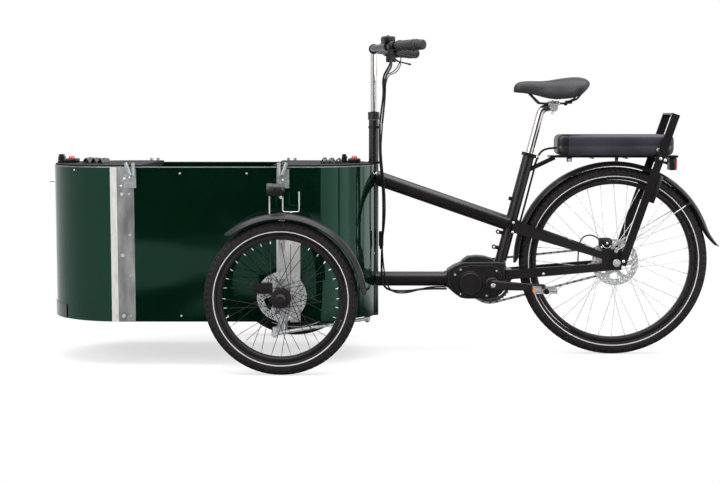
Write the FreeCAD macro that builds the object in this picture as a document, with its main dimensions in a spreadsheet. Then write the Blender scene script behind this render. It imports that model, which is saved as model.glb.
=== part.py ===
import FreeCAD, Part
import math
import os

Vector = FreeCAD.Vector
Rotation = FreeCAD.Rotation
X_AXIS = Vector(1, 0, 0)
Y_AXIS = Vector(0, 1, 0)
Z_AXIS = Vector(0, 0, 1)
SIDES = {"left": -1, "right": 1}

# Driving dimensions in millimetres and degrees. X runs to the rear, Y to the rider's right, Z up.
DIMENSIONS = {
    "fit_gap": 0.3,
    # Wheels
    "front_axle_x": -334,
    "wheelbase": 1126,
    "wheel_box_gap": 155,
    "front_wheel_radius": 247,
    "rear_wheel_radius": 326,
    "tyre_section": 47,
    "front_bead_depth": 44,
    "rear_bead_depth": 45,
    "rim_depth": 15,
    "rim_width": 27,
    "spoke_count": 36,
    "spoke_radius": 1,
    "spoke_cross_angle": 62,
    "spoke_stagger": 2.6,
    "hub_core_radius": 17,
    "hub_flange_radius": 31,
    "hub_flange_thickness": 4,
    "front_flange_offset": 20,
    "front_hub_outer": 36,
    "front_hub_inner": 38,
    "hub_cap_thickness": 6,
    "rear_flange_offset": 30,
    "rear_hub_disc_side": 50,
    "rear_hub_drive_side": 38,
    "disc_radius": 80,
    "disc_bore": 11,
    "disc_thickness": 2,
    "disc_clearance": 1.2,
    "calliper_jaw": 9,
    "calliper_overhang": 10,
    "front_calliper_height": 35,
    "rear_calliper_length": 43,
    "rear_calliper_height": 38,
    # Steering
    "column_x": -38,
    "column_radius": 17,
    "column_bore": 13,
    "column_drop": 101,
    "column_length": 667,
    "kingpin_inset": 75,
    "kingpin_radius": 9.7,
    "kingpin_housing_radius": 18,
    "kingpin_housing_height": 100,
    "beam_drop": 71,
    "beam_size": 40,
    "frame_wall": 3,
    "cheek_thickness": 11.7,
    "cheek_half_length": 18,
    "cheek_inboard": 15,
    "knuckle_plate_offset": 19,
    "knuckle_plate_thickness": 6,
    "stub_radius": 8,
    "arm_reach_x": -22,
    "arm_reach_y": 50,
    "arm_width": 16,
    "arm_overhang": 5,
    "arm_height": 14,
    "arm_boss_radius": 15,
    "arm_drop": 111,
    "ball_stud_radius": 4,
    "ball_stud_length": 16,
    "ball_stud_head_radius": 7,
    "ball_stud_head_height": 3,
    "rod_end_radius": 11,
    "rod_end_height": 14,
    "tie_rod_radius": 6,
    "pitman_thickness": 9.7,
    "collar_radius": 20,
    "collar_height": 27,
    "stem_radius": 11,
    "bar_rise": 241,
    "bar_radius": 11.1,
    "bar_bend": 60,
    "bar_centre_half": 70,
    "bar_knee_x": 62,
    "bar_knee_y": 240,
    "bar_tip_x": 157,
    "bar_tip_y": 324,
    "stem_clamp_radius": 17,
    "stem_clamp_width": 44,
    "grip_radius": 18,
    "grip_length": 108,
    "grip_cap": 3,
    "pod_length": 46,
    "pod_width": 38,
    "pod_height": 22,
    "pod_inboard": 22,
    "pod_button_radius": 5,
    "pod_button_height": 8,
    "pod_button_depth": 6,
    "perch_size": 24,
    "perch_width": 30,
    "lever_length": 100,
    "lever_thickness": 8,
    "lever_width": 14,
    "lever_tilt": 10,
    "lever_pin_radius": 3,
    # Front mudguards and lamps
    "mudguard_clearance": 23,
    "mudguard_thickness": 3,
    "mudguard_width": 60,
    "front_guard_start_angle": 3,
    "front_guard_sweep_angle": 128,
    "guard_tab_height": 12,
    "guard_tab_reach": 40,
    "guard_strut_width": 20,
    "lamp_radius": 20.5,
    "lamp_length": 56,
    "lamp_rise": 74,
    "lamp_front_x": -43,
    "lamp_rod_radius": 4,
    "lamp_wire_radius": 2.5,
    "lamp_wire_x": 7,
    "lamp_wire_span": 52,
    "lamp_wire_top": 68,
    "lamp_wire_bend": 10,
    # Cargo box
    "box_nose_x": -1136,
    "box_half_width": 255,
    "box_drop": 99,
    "box_height": 511,
    "panel_thickness": 3,
    "box_tail_overlap": 4,
    "strip_thickness": 3,
    "front_strip_lead": 22,
    "rear_strip_trail": 9,
    "strip_width": 78,
    "rear_plate_height": 290,
    "base_rail_width": 30,
    "floor_thickness": 10,
    "board_thickness": 18,
    "board_proud": 7,
    "front_board_depth": 335,
    "rear_board_depth": 330,
    "bracket_width": 41,
    "bracket_height": 63,
    "bracket_thickness": 4,
    "bracket_drop": 5,
    "front_bracket_offset": 23,
    "rear_bracket_offset": -67,
    "bow_socket_radius": 6,
    "bow_socket_bore": 4,
    "bow_socket_length": 42,
    "bow_socket_inset": 8,
    "bow_socket_tilt": 20,
    "bow_socket_proud": 15,
    "rivet_radius": 3.5,
    "rivet_height": 2,
    "rivet_inset": 20,
    "rivet_column_inset": 15,
    "strip_rivet_rows": 4,
    "plate_rivet_rows": 2,
    "bolt_radius": 6,
    "bolt_height": 3.5,
    "strip_bolt_rows": 3,
    "nose_pin_length": 26,
    "nose_pin_drop": 57,
    "nose_patch_height": 46,
    "nose_patch_half_angle": 42,
    "buckle_length": 70,
    "buckle_width": 44,
    "buckle_height": 14,
    "front_buckle_x": 53,
    "rear_buckle_x": -67,
    "button_radius": 11,
    "button_height": 14,
    "button_sunk": 4,
    "button_well": 8,
    "strap_fold_length": 26,
    "strap_fold_height": 20,
    "strap_folds": 3,
    "strap_bunch_width": 150,
    "front_strap_x": 100,
    "rear_strap_x": -184,
    # Frame tubes
    "top_tube_radius": 25.5,
    "top_tube_drop": 196,
    "top_tube_seat_distance": 132,
    "tube_setback": 8,
    "lower_tube_radius": 25,
    "lower_tube_z": -63.5,
    "lower_collar_radius": 28,
    "lower_collar_length": 8,
    "seat_tube_x": -63,
    "seat_angle": 14.5,
    "seat_tube_radius": 20,
    "seat_tube_length": 386,
    "seat_bore_depth": 300,
    "stay_front_inner": 31,
    "stay_rear_inner": 58.5,
    "stay_front_thickness": 9,
    "stay_rear_thickness": 8,
    "upper_stay_front_x": -26,
    "upper_stay_front_z": 121,
    "upper_stay_front_height": 46,
    "upper_stay_rear_z": 17,
    "upper_stay_rear_height": 22,
    "chainstay_front_z": -45,
    "chainstay_front_height": 34,
    "chainstay_rear_z": -15,
    "chainstay_rear_height": 26,
    "chainstay_yoke_length": 21,
    "upper_yoke_length": 19,
    "stay_end_before_axle": 22,
    "dropout_inner": 60,
    "dropout_thickness": 6,
    "dropout_front": 47,
    "dropout_rear": 20,
    "dropout_bottom": 26,
    "dropout_top": 46,
    "rear_axle_radius": 5,
    "rear_axle_half_length": 84,
    "axle_nut_radius": 9,
    "axle_nut_thickness": 5.4,
    # Drive
    "motor_front_x": -250,
    "motor_rear_x": -47,
    "motor_top": -1,
    "motor_bottom": -130,
    "motor_left": 46,
    "motor_right": 38,
    "motor_corner": 18,
    "motor_nose_bottom": -94,
    "motor_nose_top": -30,
    "motor_shoulder_x": -204,
    "motor_heel_x": -81,
    "motor_cover_x": -169,
    "motor_cover_radius": 41,
    "motor_cover_depth": 8,
    "crank_x": -95,
    "crank_z": -77,
    "crank_length": 170,
    "crank_angle": -3,
    "crank_arm_inner": 74,
    "crank_arm_thickness": 12,
    "crank_arm_width": 24,
    "spindle_radius": 12,
    "pedal_spindle_radius": 5,
    "pedal_inner": 92,
    "pedal_width": 92,
    "pedal_length": 74,
    "pedal_height": 20,
    "pedal_cage": 6,
    "pedal_core_radius": 9.5,
    "chain_line": 43.5,
    "chain_pitch": 12.7,
    "chainring_teeth": 38,
    "sprocket_teeth": 22,
    "chain_width": 8,
    "chain_inner_depth": 3,
    "chain_outer_depth": 4,
    "tooth_clearance": 0.8,
    "ring_thickness": 3,
    "freewheel_radius": 20,
    # Seat
    "seat_post_radius": 13.6,
    "seat_post_inside": 150,
    "seat_post_above": 150,
    "seat_collar_radius": 26,
    "seat_collar_height": 14,
    "seat_collar_gap": 2,
    "lever_pivot_back": 26,
    "lever_pivot_side": 31,
    "seat_lever_length": 44,
    "seat_lever_width": 8,
    "seat_lever_height": 9,
    "seat_lever_pin": 3,
    "saddle_nose_x": -94.2,
    "saddle_length": 255,
    "saddle_half_width": 97,
    "saddle_rise": 37.1,
    "saddle_height": 76,
    "rail_radius": 3.5,
    "rail_half_gap": 22,
    "rail_drop": 12,
    "rail_front_x": 5,
    "rail_rear_x": 85,
    "rail_slope_run": 25,
    "rail_bend": 10,
    "post_straight": 130,
    "post_elbow": 158,
    "post_reach": 52.4,
    "post_rise": 10,
    "post_bend": 30,
    "seat_clamp_x": 42.8,
    "seat_clamp_length": 40,
    "seat_clamp_half_width": 27,
    "seat_clamp_height": 16,
    "cradle_radius": 14,
    "cradle_half_width": 26,
    "cradle_drop": 13.5,
    # Battery, carrier and tail light
    "battery_front_x": 123,
    "battery_length": 397,
    "battery_half_width": 65,
    "battery_bottom": 40,
    "battery_height": 72,
    "battery_corner": 10,
    "rail_half_width": 35,
    "rail_thickness": 7.7,
    "rack_rail_start": 100,
    "rack_rail_end": 213,
    "rack_cross_x": 130,
    "rack_cross_length": 26,
    "rack_lug_radius": 6,
    "rack_lug_x": 8,
    "strut_width": 20,
    "strut_height": 14,
    "strut_foot_distance": 320,
    "hoop_foot_x": 24,
    "hoop_foot_z": 5,
    "hoop_top_x": 190,
    "hoop_top_z": 168,
    "hoop_width": 27,
    "hoop_thickness": 6,
    "hoop_inner": 72,
    "hoop_boss_radius": 8,
    "tail_light_height": 44,
    "tail_light_half_width": 28,
    "tail_light_depth": 20,
    "tail_lens_depth": 6,
    "rear_guard_clearance": 16,
    "rear_guard_start_angle": 22,
    "rear_guard_sweep_angle": 159,
    "flap_length": 91,
    "flap_flare_angle": 13,
    "guard_wire_radius": 2.5,
    "guard_wire_angle": 38,
    "guard_eye_radius": 6,
    "guard_eye_lift": 2,
    # Cables
    "cable_radius": 4,
    "cable_back": 24,
    "cable_side": 31,
    "cable_tie_drop": 13,
    "cable_bend": 40,
    "cable_low_z": -95,
    "cable_join_rise": 147,
    "clip_height": 8,
    "battery_cable_side": 4,
    "battery_cable_bend": 10,
    "battery_cable_out": 39,
    "battery_cable_back": 22,
    "battery_cable_end_drop": 24.7,
}

doc = FreeCAD.newDocument("CargoTricycle")
sheet = doc.addObject("Spreadsheet::Sheet", "Dim")
for row, (alias, number) in enumerate(DIMENSIONS.items(), start=1):
    sheet.set("A%d" % row, alias)
    sheet.set("B%d" % row, str(number))
    sheet.setAlias("B%d" % row, alias)
doc.recompute()

nodes = []


def size(alias):
    return float(sheet.get(alias))


def node(label, piece):
    piece.Label = label
    nodes.append(piece)
    return piece


# Small builders


def cylinder(name, radius, length, start, axis=Z_AXIS):
    piece = doc.addObject("Part::Cylinder", name)
    piece.setExpression("Radius", radius)
    piece.setExpression("Height", length)
    piece.Placement = FreeCAD.Placement(start, Rotation(Z_AXIS, axis))
    return piece


def box(name, lengths, corner, turn=None):
    piece = doc.addObject("Part::Box", name)
    for key, length in zip(("Length", "Width", "Height"), lengths):
        piece.setExpression(key, length)
    piece.Placement = FreeCAD.Placement(corner, turn or Rotation())
    return piece


def cut(name, base, *tools):
    piece = doc.addObject("Part::Cut", name)
    piece.Base = base
    piece.Tool = tools[0] if len(tools) == 1 else fuse(name + "_tools", *tools)
    return piece


def fuse(name, *pieces):
    piece = doc.addObject("Part::MultiFuse", name)
    piece.Shapes = list(pieces)
    return piece


def common(name, base, tool):
    piece = doc.addObject("Part::Common", name)
    piece.Base = base
    piece.Tool = tool
    return piece


def group(name, *pieces):
    piece = doc.addObject("Part::Compound", name)
    piece.Links = list(pieces)
    return piece


def feature(name, shape):
    piece = doc.addObject("Part::Feature", name)
    piece.Shape = shape
    return piece


def tube(name, outer, inner, length, start, axis=Z_AXIS):
    wall = cylinder(name + "_outside", outer, length, start, axis)
    bore = cylinder(name + "_inside", inner, length, start, axis)
    return cut(name, wall, bore)


def sector(name, radius, width, sweep, centre, start_angle):
    """Part of a cylinder about the Y axis, its angle counted from the rear upwards."""
    piece = doc.addObject("Part::Cylinder", name)
    piece.setExpression("Radius", radius)
    piece.setExpression("Height", width)
    piece.setExpression("Angle", sweep)
    turn = Rotation(X_AXIS, 90).multiply(Rotation(Z_AXIS, start_angle))
    piece.Placement = FreeCAD.Placement(centre, turn)
    return piece


def curved_band(name, outer, thickness, width, sweep, centre, start_angle):
    outside = sector(name + "_outside", outer, width, sweep, centre, start_angle)
    inside = sector(name + "_inside", outer + " - " + thickness, width, sweep, centre, start_angle)
    return cut(name, outside, inside)


def rounded_path(points, bend):
    """Straight runs joined by tangent arcs."""
    edges = []
    start = points[0]
    for before, corner, after in zip(points, points[1:], points[2:]):
        into = (corner - before).normalize()
        out = (after - corner).normalize()
        turn = into.getAngle(out)
        reach = bend * math.tan(turn / 2)
        begin = corner - into * reach
        end = corner + out * reach
        inward = (out - into).normalize()
        middle = corner + inward * (bend / math.cos(turn / 2) - bend)
        edges.append(Part.LineSegment(start, begin).toShape())
        edges.append(Part.Arc(begin, middle, end).toShape())
        start = end
    edges.append(Part.LineSegment(start, points[-1]).toShape())
    return Part.Wire(edges)


def round_bar(points, radius, bend):
    """A bar or cable of round section along a rounded path."""
    if len(points) == 2:
        run = points[1] - points[0]
        return Part.makeCylinder(radius, run.Length, points[0], run)
    path = rounded_path(points, bend)
    profile = Part.Wire(Part.makeCircle(radius, points[0], points[1] - points[0]))
    solid = path.makePipeShell([profile], True, False)
    wanted = math.pi * radius ** 2 * path.Length
    if abs(solid.Volume - wanted) > 0.01 * wanted:
        raise ValueError("swept bar has the wrong volume")
    return solid


def stadium(name, radius, bottom, height):
    """The plan of the box, with rounded front and rear ends."""
    front = Vector(front_arc_x, 0, bottom)
    rear = Vector(rear_arc_x, 0, bottom)
    nose = cylinder(name + "_front", radius, height, front)
    tail = cylinder(name + "_rear", radius, height, rear)
    middle = box(
        name + "_middle",
        ("%r" % (rear_arc_x - front_arc_x), "2 * (" + radius + ")", height),
        front,
    )
    middle.setExpression("Placement.Base.y", "-(" + radius + ")")
    piece = fuse(name, nose, tail, middle)
    piece.Refine = True
    return piece


# Shared places

front_axle_x = size("front_axle_x")
front_hub_z = size("front_wheel_radius")
rear_axle = Vector(front_axle_x + size("wheelbase"), 0, size("rear_wheel_radius"))


def before_wheel(alias):
    """A place counted from the foremost point of the rear tyre."""
    return rear_axle.x - size("rear_wheel_radius") + size(alias)


def beside_axle(alias):
    """A place counted from the rear axle."""
    return rear_axle.x + size(alias)


def at_axle_height(alias):
    """A height counted from the rear axle."""
    return rear_axle.z + size(alias)


def above_wheel(alias):
    """A height counted from the top of the rear tyre."""
    return 2 * rear_axle.z + size(alias)


column_x = size("column_x")
column_bottom = front_hub_z - size("column_drop")
column_top = column_bottom + size("column_length")
cable_tie_z = column_top - size("cable_tie_drop")
gap = size("fit_gap")
seat_tilt = math.radians(size("seat_angle"))
seat_axis = Vector(math.sin(seat_tilt), 0, math.cos(seat_tilt))
seat_turn = Rotation(Z_AXIS, seat_axis)
seat_foot = Vector(before_wheel("seat_tube_x"), 0, at_axle_height("motor_top"))
seat_top = seat_foot + seat_axis * size("seat_tube_length")
post_top = seat_top + seat_axis * size("seat_post_above")
saddle_bottom = post_top.z + size("saddle_rise")
wheel_plane = size("box_half_width") + size("wheel_box_gap")
kingpin_y = wheel_plane - size("kingpin_inset")
arm_bottom = front_hub_z - size("arm_drop")
beam_bottom = front_hub_z - size("beam_drop")
beam_top = beam_bottom + size("beam_size")
housing_top = beam_bottom + size("kingpin_housing_height")
box_bottom = front_hub_z - size("box_drop")
box_rim = box_bottom + size("box_height")
board_top = box_rim + size("board_proud")
front_arc_x = size("box_nose_x") + size("box_half_width")
rear_arc_x = column_x + size("box_tail_overlap") - size("box_half_width")
panel_inside = "Dim.box_half_width - Dim.panel_thickness - Dim.fit_gap"
crank_centre = Vector(before_wheel("crank_x"), 0, at_axle_height("crank_z"))
rear_guard_radius = rear_axle.z + size("rear_guard_clearance") + size("mudguard_thickness")


def column_cutter(name, clearance):
    """The column's outside, as a tool for pieces that meet it."""
    start = Vector(column_x, 0, column_bottom)
    radius = "Dim.column_radius + " + clearance
    return cylinder(name, radius, "Dim.column_length", start)


def seat_cutter(name, clearance):
    """The seat tube's outside, as a tool for pieces that meet it."""
    start = seat_foot - seat_axis * size("seat_tube_radius")
    radius = "Dim.seat_tube_radius + " + clearance
    return cylinder(name, radius, "Dim.seat_tube_length + Dim.seat_tube_radius", start, seat_axis)


# Frame


def make_column():
    start = Vector(column_x, 0, column_bottom)
    height = "Dim.column_length"
    node("column_tube", tube("Column", "Dim.column_radius", "Dim.column_bore", height, start))


def make_top_tube():
    front = Vector(column_x, 0, column_top - size("top_tube_drop"))
    rear = seat_foot + seat_axis * size("top_tube_seat_distance")
    run = rear - front
    body = cylinder("TopTubeBody", "Dim.top_tube_radius", "%r" % run.Length, front, run)
    span = "4 * Dim.top_tube_radius"
    half = 2 * size("top_tube_radius")
    front_stop = box(
        "TopTubeFrontStop",
        (span, span, "2 * " + span),
        Vector(column_x + size("tube_setback") - 2 * half, -half, front.z - 2 * half),
    )
    rear_stop = box(
        "TopTubeRearStop",
        (span, span, "2 * " + span),
        rear - seat_axis * (2 * half) + seat_turn.multVec(Vector(-size("tube_setback"), -half, 0)),
        seat_turn,
    )
    column = column_cutter("TopTubeColumn", "0")
    seat = seat_cutter("TopTubeSeat", "0")
    inside = "Dim.top_tube_radius - Dim.frame_wall"
    bore = cylinder("TopTubeBore", inside, "%r" % run.Length, front, run)
    node("top_tube", cut("TopTube", body, front_stop, rear_stop, column, seat, bore))


def make_lower_tube():
    start = Vector(column_x + size("tube_setback"), 0, at_axle_height("lower_tube_z"))
    reach = "%r - Dim.lower_collar_length - Dim.column_x - Dim.tube_setback" % before_wheel("motor_front_x")
    body = cylinder("LowerTubeBody", "Dim.lower_tube_radius", reach, start, X_AXIS)
    collar_start = Vector(before_wheel("motor_front_x") - size("lower_collar_length"), 0, at_axle_height("lower_tube_z"))
    collar = cylinder(
        "LowerTubeCollar", "Dim.lower_collar_radius", "Dim.lower_collar_length", collar_start, X_AXIS
    )
    bore = cylinder("LowerTubeBore", "Dim.lower_tube_radius - Dim.frame_wall", reach, start, X_AXIS)
    whole = fuse("LowerTubeWhole", body, collar)
    node("lower_tube", cut("LowerTube", whole, column_cutter("LowerTubeColumn", "0"), bore))


def make_seat_tube():
    body = seat_cutter("SeatTubeBody", "0")
    bore_start = seat_top - seat_axis * size("seat_bore_depth")
    bore = cylinder(
        "SeatTubeBore",
        "Dim.seat_post_radius + Dim.fit_gap",
        "Dim.seat_bore_depth + Dim.seat_tube_radius",
        bore_start,
        seat_axis,
    )
    reach = 4 * size("seat_tube_radius")
    under = box(
        "SeatTubeUnder",
        ("8 * Dim.seat_tube_radius", "8 * Dim.seat_tube_radius", "4 * Dim.seat_tube_radius"),
        seat_foot - Vector(reach, reach, reach),
    )
    node("seat_tube", cut("SeatTube", body, bore, under))


def rectangle(x, inner, outer, middle_z, height):
    low = middle_z - height / 2
    high = middle_z + height / 2
    corners = [Vector(x, inner, low), Vector(x, outer, low), Vector(x, outer, high), Vector(x, inner, high)]
    return Part.makePolygon(corners + corners[:1])


def stay(name, side, prefix, front_x):
    """A straight stay that tapers from its yoke to the dropout."""
    inner = size("stay_front_inner")
    front = rectangle(
        front_x,
        side * inner,
        side * (inner + size("stay_front_thickness")),
        at_axle_height(prefix + "_front_z"),
        size(prefix + "_front_height"),
    )
    rear_inner = size("stay_rear_inner")
    rear = rectangle(
        rear_axle.x - size("stay_end_before_axle"),
        side * rear_inner,
        side * (rear_inner + size("stay_rear_thickness")),
        at_axle_height(prefix + "_rear_z"),
        size(prefix + "_rear_height"),
    )
    return feature(name, Part.makeLoft([front, rear], True, True))


def yoke(name, front_x, length, prefix):
    width = "2 * (Dim.stay_front_inner + Dim.stay_front_thickness)"
    half = size("stay_front_inner") + size("stay_front_thickness")
    low = at_axle_height(prefix + "_front_z") - size(prefix + "_front_height") / 2
    return box(name, (length, width, "Dim." + prefix + "_front_height"), Vector(front_x, -half, low))


def make_rear_stays():
    upper_x = before_wheel("upper_stay_front_x")
    lower_x = before_wheel("motor_rear_x")
    pieces = [
        yoke("UpperYoke", upper_x, "Dim.upper_yoke_length", "upper_stay"),
        yoke("LowerYoke", lower_x, "Dim.chainstay_yoke_length", "chainstay"),
    ]
    for side_name, side in SIDES.items():
        upper_start = upper_x + size("upper_yoke_length") / 2
        lower_start = lower_x + size("chainstay_yoke_length") / 2
        pieces.append(stay("UpperStay_" + side_name, side, "upper_stay", upper_start))
        pieces.append(stay("Chainstay_" + side_name, side, "chainstay", lower_start))
        inner = size("dropout_inner")
        low_y = inner if side > 0 else -inner - size("dropout_thickness")
        corner = rear_axle + Vector(-size("dropout_front"), low_y, -size("dropout_bottom"))
        pieces.append(
            box(
                "Dropout_" + side_name,
                (
                    "Dim.dropout_front + Dim.dropout_rear",
                    "Dim.dropout_thickness",
                    "Dim.dropout_bottom + Dim.dropout_top",
                ),
                corner,
            )
        )
    axle_start = rear_axle - Y_AXIS * size("rear_axle_half_length")
    axle_hole = cylinder(
        "AxleHole",
        "Dim.rear_axle_radius + Dim.fit_gap",
        "2 * Dim.rear_axle_half_length",
        axle_start,
        Y_AXIS,
    )
    whole = fuse("RearStaysWhole", *pieces)
    welded = cut("RearStaysWelded", whole, seat_cutter("StaysSeat", "0"), axle_hole)
    axle = cylinder(
        "RearAxle", "Dim.rear_axle_radius", "2 * Dim.rear_axle_half_length", axle_start, Y_AXIS
    )
    nuts = []
    for side_name, side in SIDES.items():
        nut_start = rear_axle + Y_AXIS * side * (size("dropout_inner") + size("dropout_thickness"))
        nuts.append(
            cylinder(
                "AxleNut_" + side_name,
                "Dim.axle_nut_radius",
                "Dim.axle_nut_thickness",
                nut_start,
                Y_AXIS * side,
            )
        )
    node("rear_stays", group("RearStays", welded, fuse("AxleWithNuts", axle, *nuts)))


def make_base_frame():
    bottom = beam_bottom
    ring_outside = stadium("RingOutside", panel_inside, bottom, "Dim.beam_size")
    ring_inside = stadium("RingInside", panel_inside + " - Dim.base_rail_width", bottom, "Dim.beam_size")
    under_depth = "Dim.beam_size - Dim.frame_wall"
    under_outside = stadium("RingUnderOutside", panel_inside + " - Dim.frame_wall", bottom, under_depth)
    under_inside = stadium(
        "RingUnderInside", panel_inside + " - Dim.base_rail_width + Dim.frame_wall", bottom, under_depth
    )
    underside = cut("RingUnderside", under_outside, under_inside)
    ring = cut("BaseRing", ring_outside, ring_inside, underside)
    half_beam = size("beam_size") / 2
    beam = box(
        "AxleBeam",
        ("Dim.beam_size", "%r" % (2 * kingpin_y), "Dim.beam_size"),
        Vector(front_axle_x - half_beam, -kingpin_y, bottom),
    )
    housings = []
    bores = []
    for side_name, side in SIDES.items():
        start = Vector(front_axle_x, side * kingpin_y, bottom)
        height = "Dim.kingpin_housing_height"
        housings.append(cylinder("Housing_" + side_name, "Dim.kingpin_housing_radius", height, start))
        bore = "Dim.kingpin_radius + Dim.fit_gap"
        bores.append(cylinder("HousingBore_" + side_name, bore, height, start))
        trim_side = kingpin_y if side > 0 else -kingpin_y - size("beam_size")
        corner = Vector(front_axle_x - half_beam, trim_side, bottom)
        bores.append(box("BeamTrim_" + side_name, ("Dim.beam_size",) * 3, corner))
    under_beam = box(
        "BeamUnderside",
        ("Dim.beam_size - 2 * Dim.frame_wall", "%r" % (2 * kingpin_y), "Dim.beam_size - Dim.frame_wall"),
        Vector(front_axle_x - half_beam + size("frame_wall"), -kingpin_y, bottom),
    )
    trimmed = cut("BeamTrimmed", beam, under_beam, *bores)
    drilled = cut("HousingsDrilled", fuse("Housings", *housings), bores[0], bores[2])
    whole = fuse("BaseWhole", ring, trimmed, drilled)
    node("base_frame", cut("BaseFrame", whole, column_cutter("BaseColumn", "0")))


# Cargo box


def quarter_wall(name, radius, height, centre, start_angle, sweep):
    piece = doc.addObject("Part::Cylinder", name)
    piece.setExpression("Radius", radius)
    piece.setExpression("Height", height)
    piece.Angle = sweep
    piece.Placement = FreeCAD.Placement(centre, Rotation(Z_AXIS, start_angle))
    return piece


def bent_sheet(name, outer, thickness, bottom, height, centre_x, start_angle, sweep):
    centre = Vector(centre_x, 0, bottom)
    outside = quarter_wall(name + "_outside", outer, height, centre, start_angle, sweep)
    inside = quarter_wall(name + "_inside", outer + " - " + thickness, height, centre, start_angle, sweep)
    return cut(name, outside, inside)


def beam_notch(name, low_y):
    """The way through a wall for the axle beam, open below."""
    start = Vector(front_axle_x - size("beam_size") / 2 - gap, 0, box_bottom)
    return box(
        name,
        (
            "Dim.beam_size + 2 * Dim.fit_gap",
            "3 * Dim.panel_thickness",
            "Dim.box_drop - Dim.beam_drop + Dim.beam_size + Dim.fit_gap",
        ),
        start + Y_AXIS * (low_y - size("panel_thickness")),
    )


def make_panels():
    bottom = box_bottom
    height = "Dim.box_height"
    front_x = front_arc_x
    rear_x = rear_arc_x
    half = size("box_half_width")
    outer = "Dim.box_half_width"
    sheet_wall = "Dim.panel_thickness"
    node("front_panel", bent_sheet("FrontPanel", outer, sheet_wall, bottom, height, front_x, 90, 180))
    rears = []
    flats = []
    for side_name, side in SIDES.items():
        start_angle = 0 if side > 0 else -90
        bent = bent_sheet("RearBend_" + side_name, outer, sheet_wall, bottom, height, rear_x, start_angle, 90)
        rears.append(cut("RearPanel_" + side_name, bent, column_cutter("PanelColumn_" + side_name, "Dim.fit_gap")))
        low_y = half - size("panel_thickness") if side > 0 else -half
        flat = box(
            "SideFlat_" + side_name,
            ("%r" % (rear_arc_x - front_arc_x), sheet_wall, height),
            Vector(front_x, low_y, bottom),
        )
        flats.append(cut("SidePanel_" + side_name, flat, beam_notch("BeamNotch_" + side_name, low_y)))
    node("rear_panels", group("RearPanels", *rears))
    node("side_panels", group("SidePanels", *flats))


def strip_range(at_front):
    if at_front:
        start = front_arc_x - size("front_strip_lead")
        return start, start + size("strip_width")
    end = rear_arc_x + size("rear_strip_trail")
    return end - size("strip_width"), end


def seam_strip(name, side, at_front):
    """A cover over a seam, flat on the side panel and bent at the seam's round end.

    The front strip runs from rim to bottom, the rear plate only beside the wheel.
    """
    low_x, high_x = strip_range(at_front)
    bottom = box_bottom
    height = "Dim.box_height" if at_front else "Dim.rear_plate_height"
    outer = "Dim.box_half_width + Dim.strip_thickness"
    reach = size("box_half_width")
    arc_x = front_arc_x if at_front else rear_arc_x
    low_y = reach if side > 0 else -reach - size("strip_thickness")
    flat_start = arc_x if at_front else low_x
    if at_front:
        flat_length = "Dim.strip_width - Dim.front_strip_lead"
        bent = math.degrees(math.asin((arc_x - low_x) / reach))
        start_angle = 90 if side > 0 else 270 - bent
    else:
        flat_length = "Dim.strip_width - Dim.rear_strip_trail"
        bent = math.degrees(math.asin((high_x - arc_x) / reach))
        start_angle = 90 - bent if side > 0 else 270
    flat = box(name + "_flat", (flat_length, "Dim.strip_thickness", height), Vector(flat_start, low_y, bottom))
    arc = bent_sheet(name + "_bend", outer, "Dim.strip_thickness", bottom, height, arc_x, start_angle, bent)
    piece = fuse(name, flat, arc)
    piece.Refine = True
    if at_front:
        return piece
    return cut(name + "_notched", piece, beam_notch(name + "_notch", low_y))


def make_seam_strips():
    strips = []
    for side_name, side in SIDES.items():
        strips.append(seam_strip("FrontStrip_" + side_name, side, True))
        strips.append(seam_strip("RearStrip_" + side_name, side, False))
    node("seam_strips", group("SeamStrips", *strips))


def make_floor():
    plate = stadium("FloorPlate", panel_inside, beam_top, "Dim.floor_thickness")
    node("floor_board", cut("FloorBoard", plate, column_cutter("FloorColumn", "Dim.fit_gap")))


def make_end_boards():
    bottom = board_top - size("board_thickness")
    half = size("box_half_width")
    plan = stadium("BoardPlan", panel_inside, bottom, "Dim.board_thickness")
    front_zone = box(
        "FrontBoardZone",
        ("Dim.front_board_depth", "2 * Dim.box_half_width", "Dim.board_thickness"),
        Vector(size("box_nose_x"), -half, bottom),
    )
    rear_zone = box(
        "RearBoardZone",
        ("Dim.rear_board_depth", "2 * Dim.box_half_width", "Dim.board_thickness"),
        Vector(column_x - size("rear_board_depth"), -half, bottom),
    )
    front = common("FrontBoard", plan, front_zone)
    rear_plate = common("RearBoardPlate", plan, rear_zone)
    rear = cut("RearBoard", rear_plate, column_cutter("BoardColumn", "Dim.fit_gap"))
    node("end_boards", group("EndBoards", front, rear))


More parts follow.
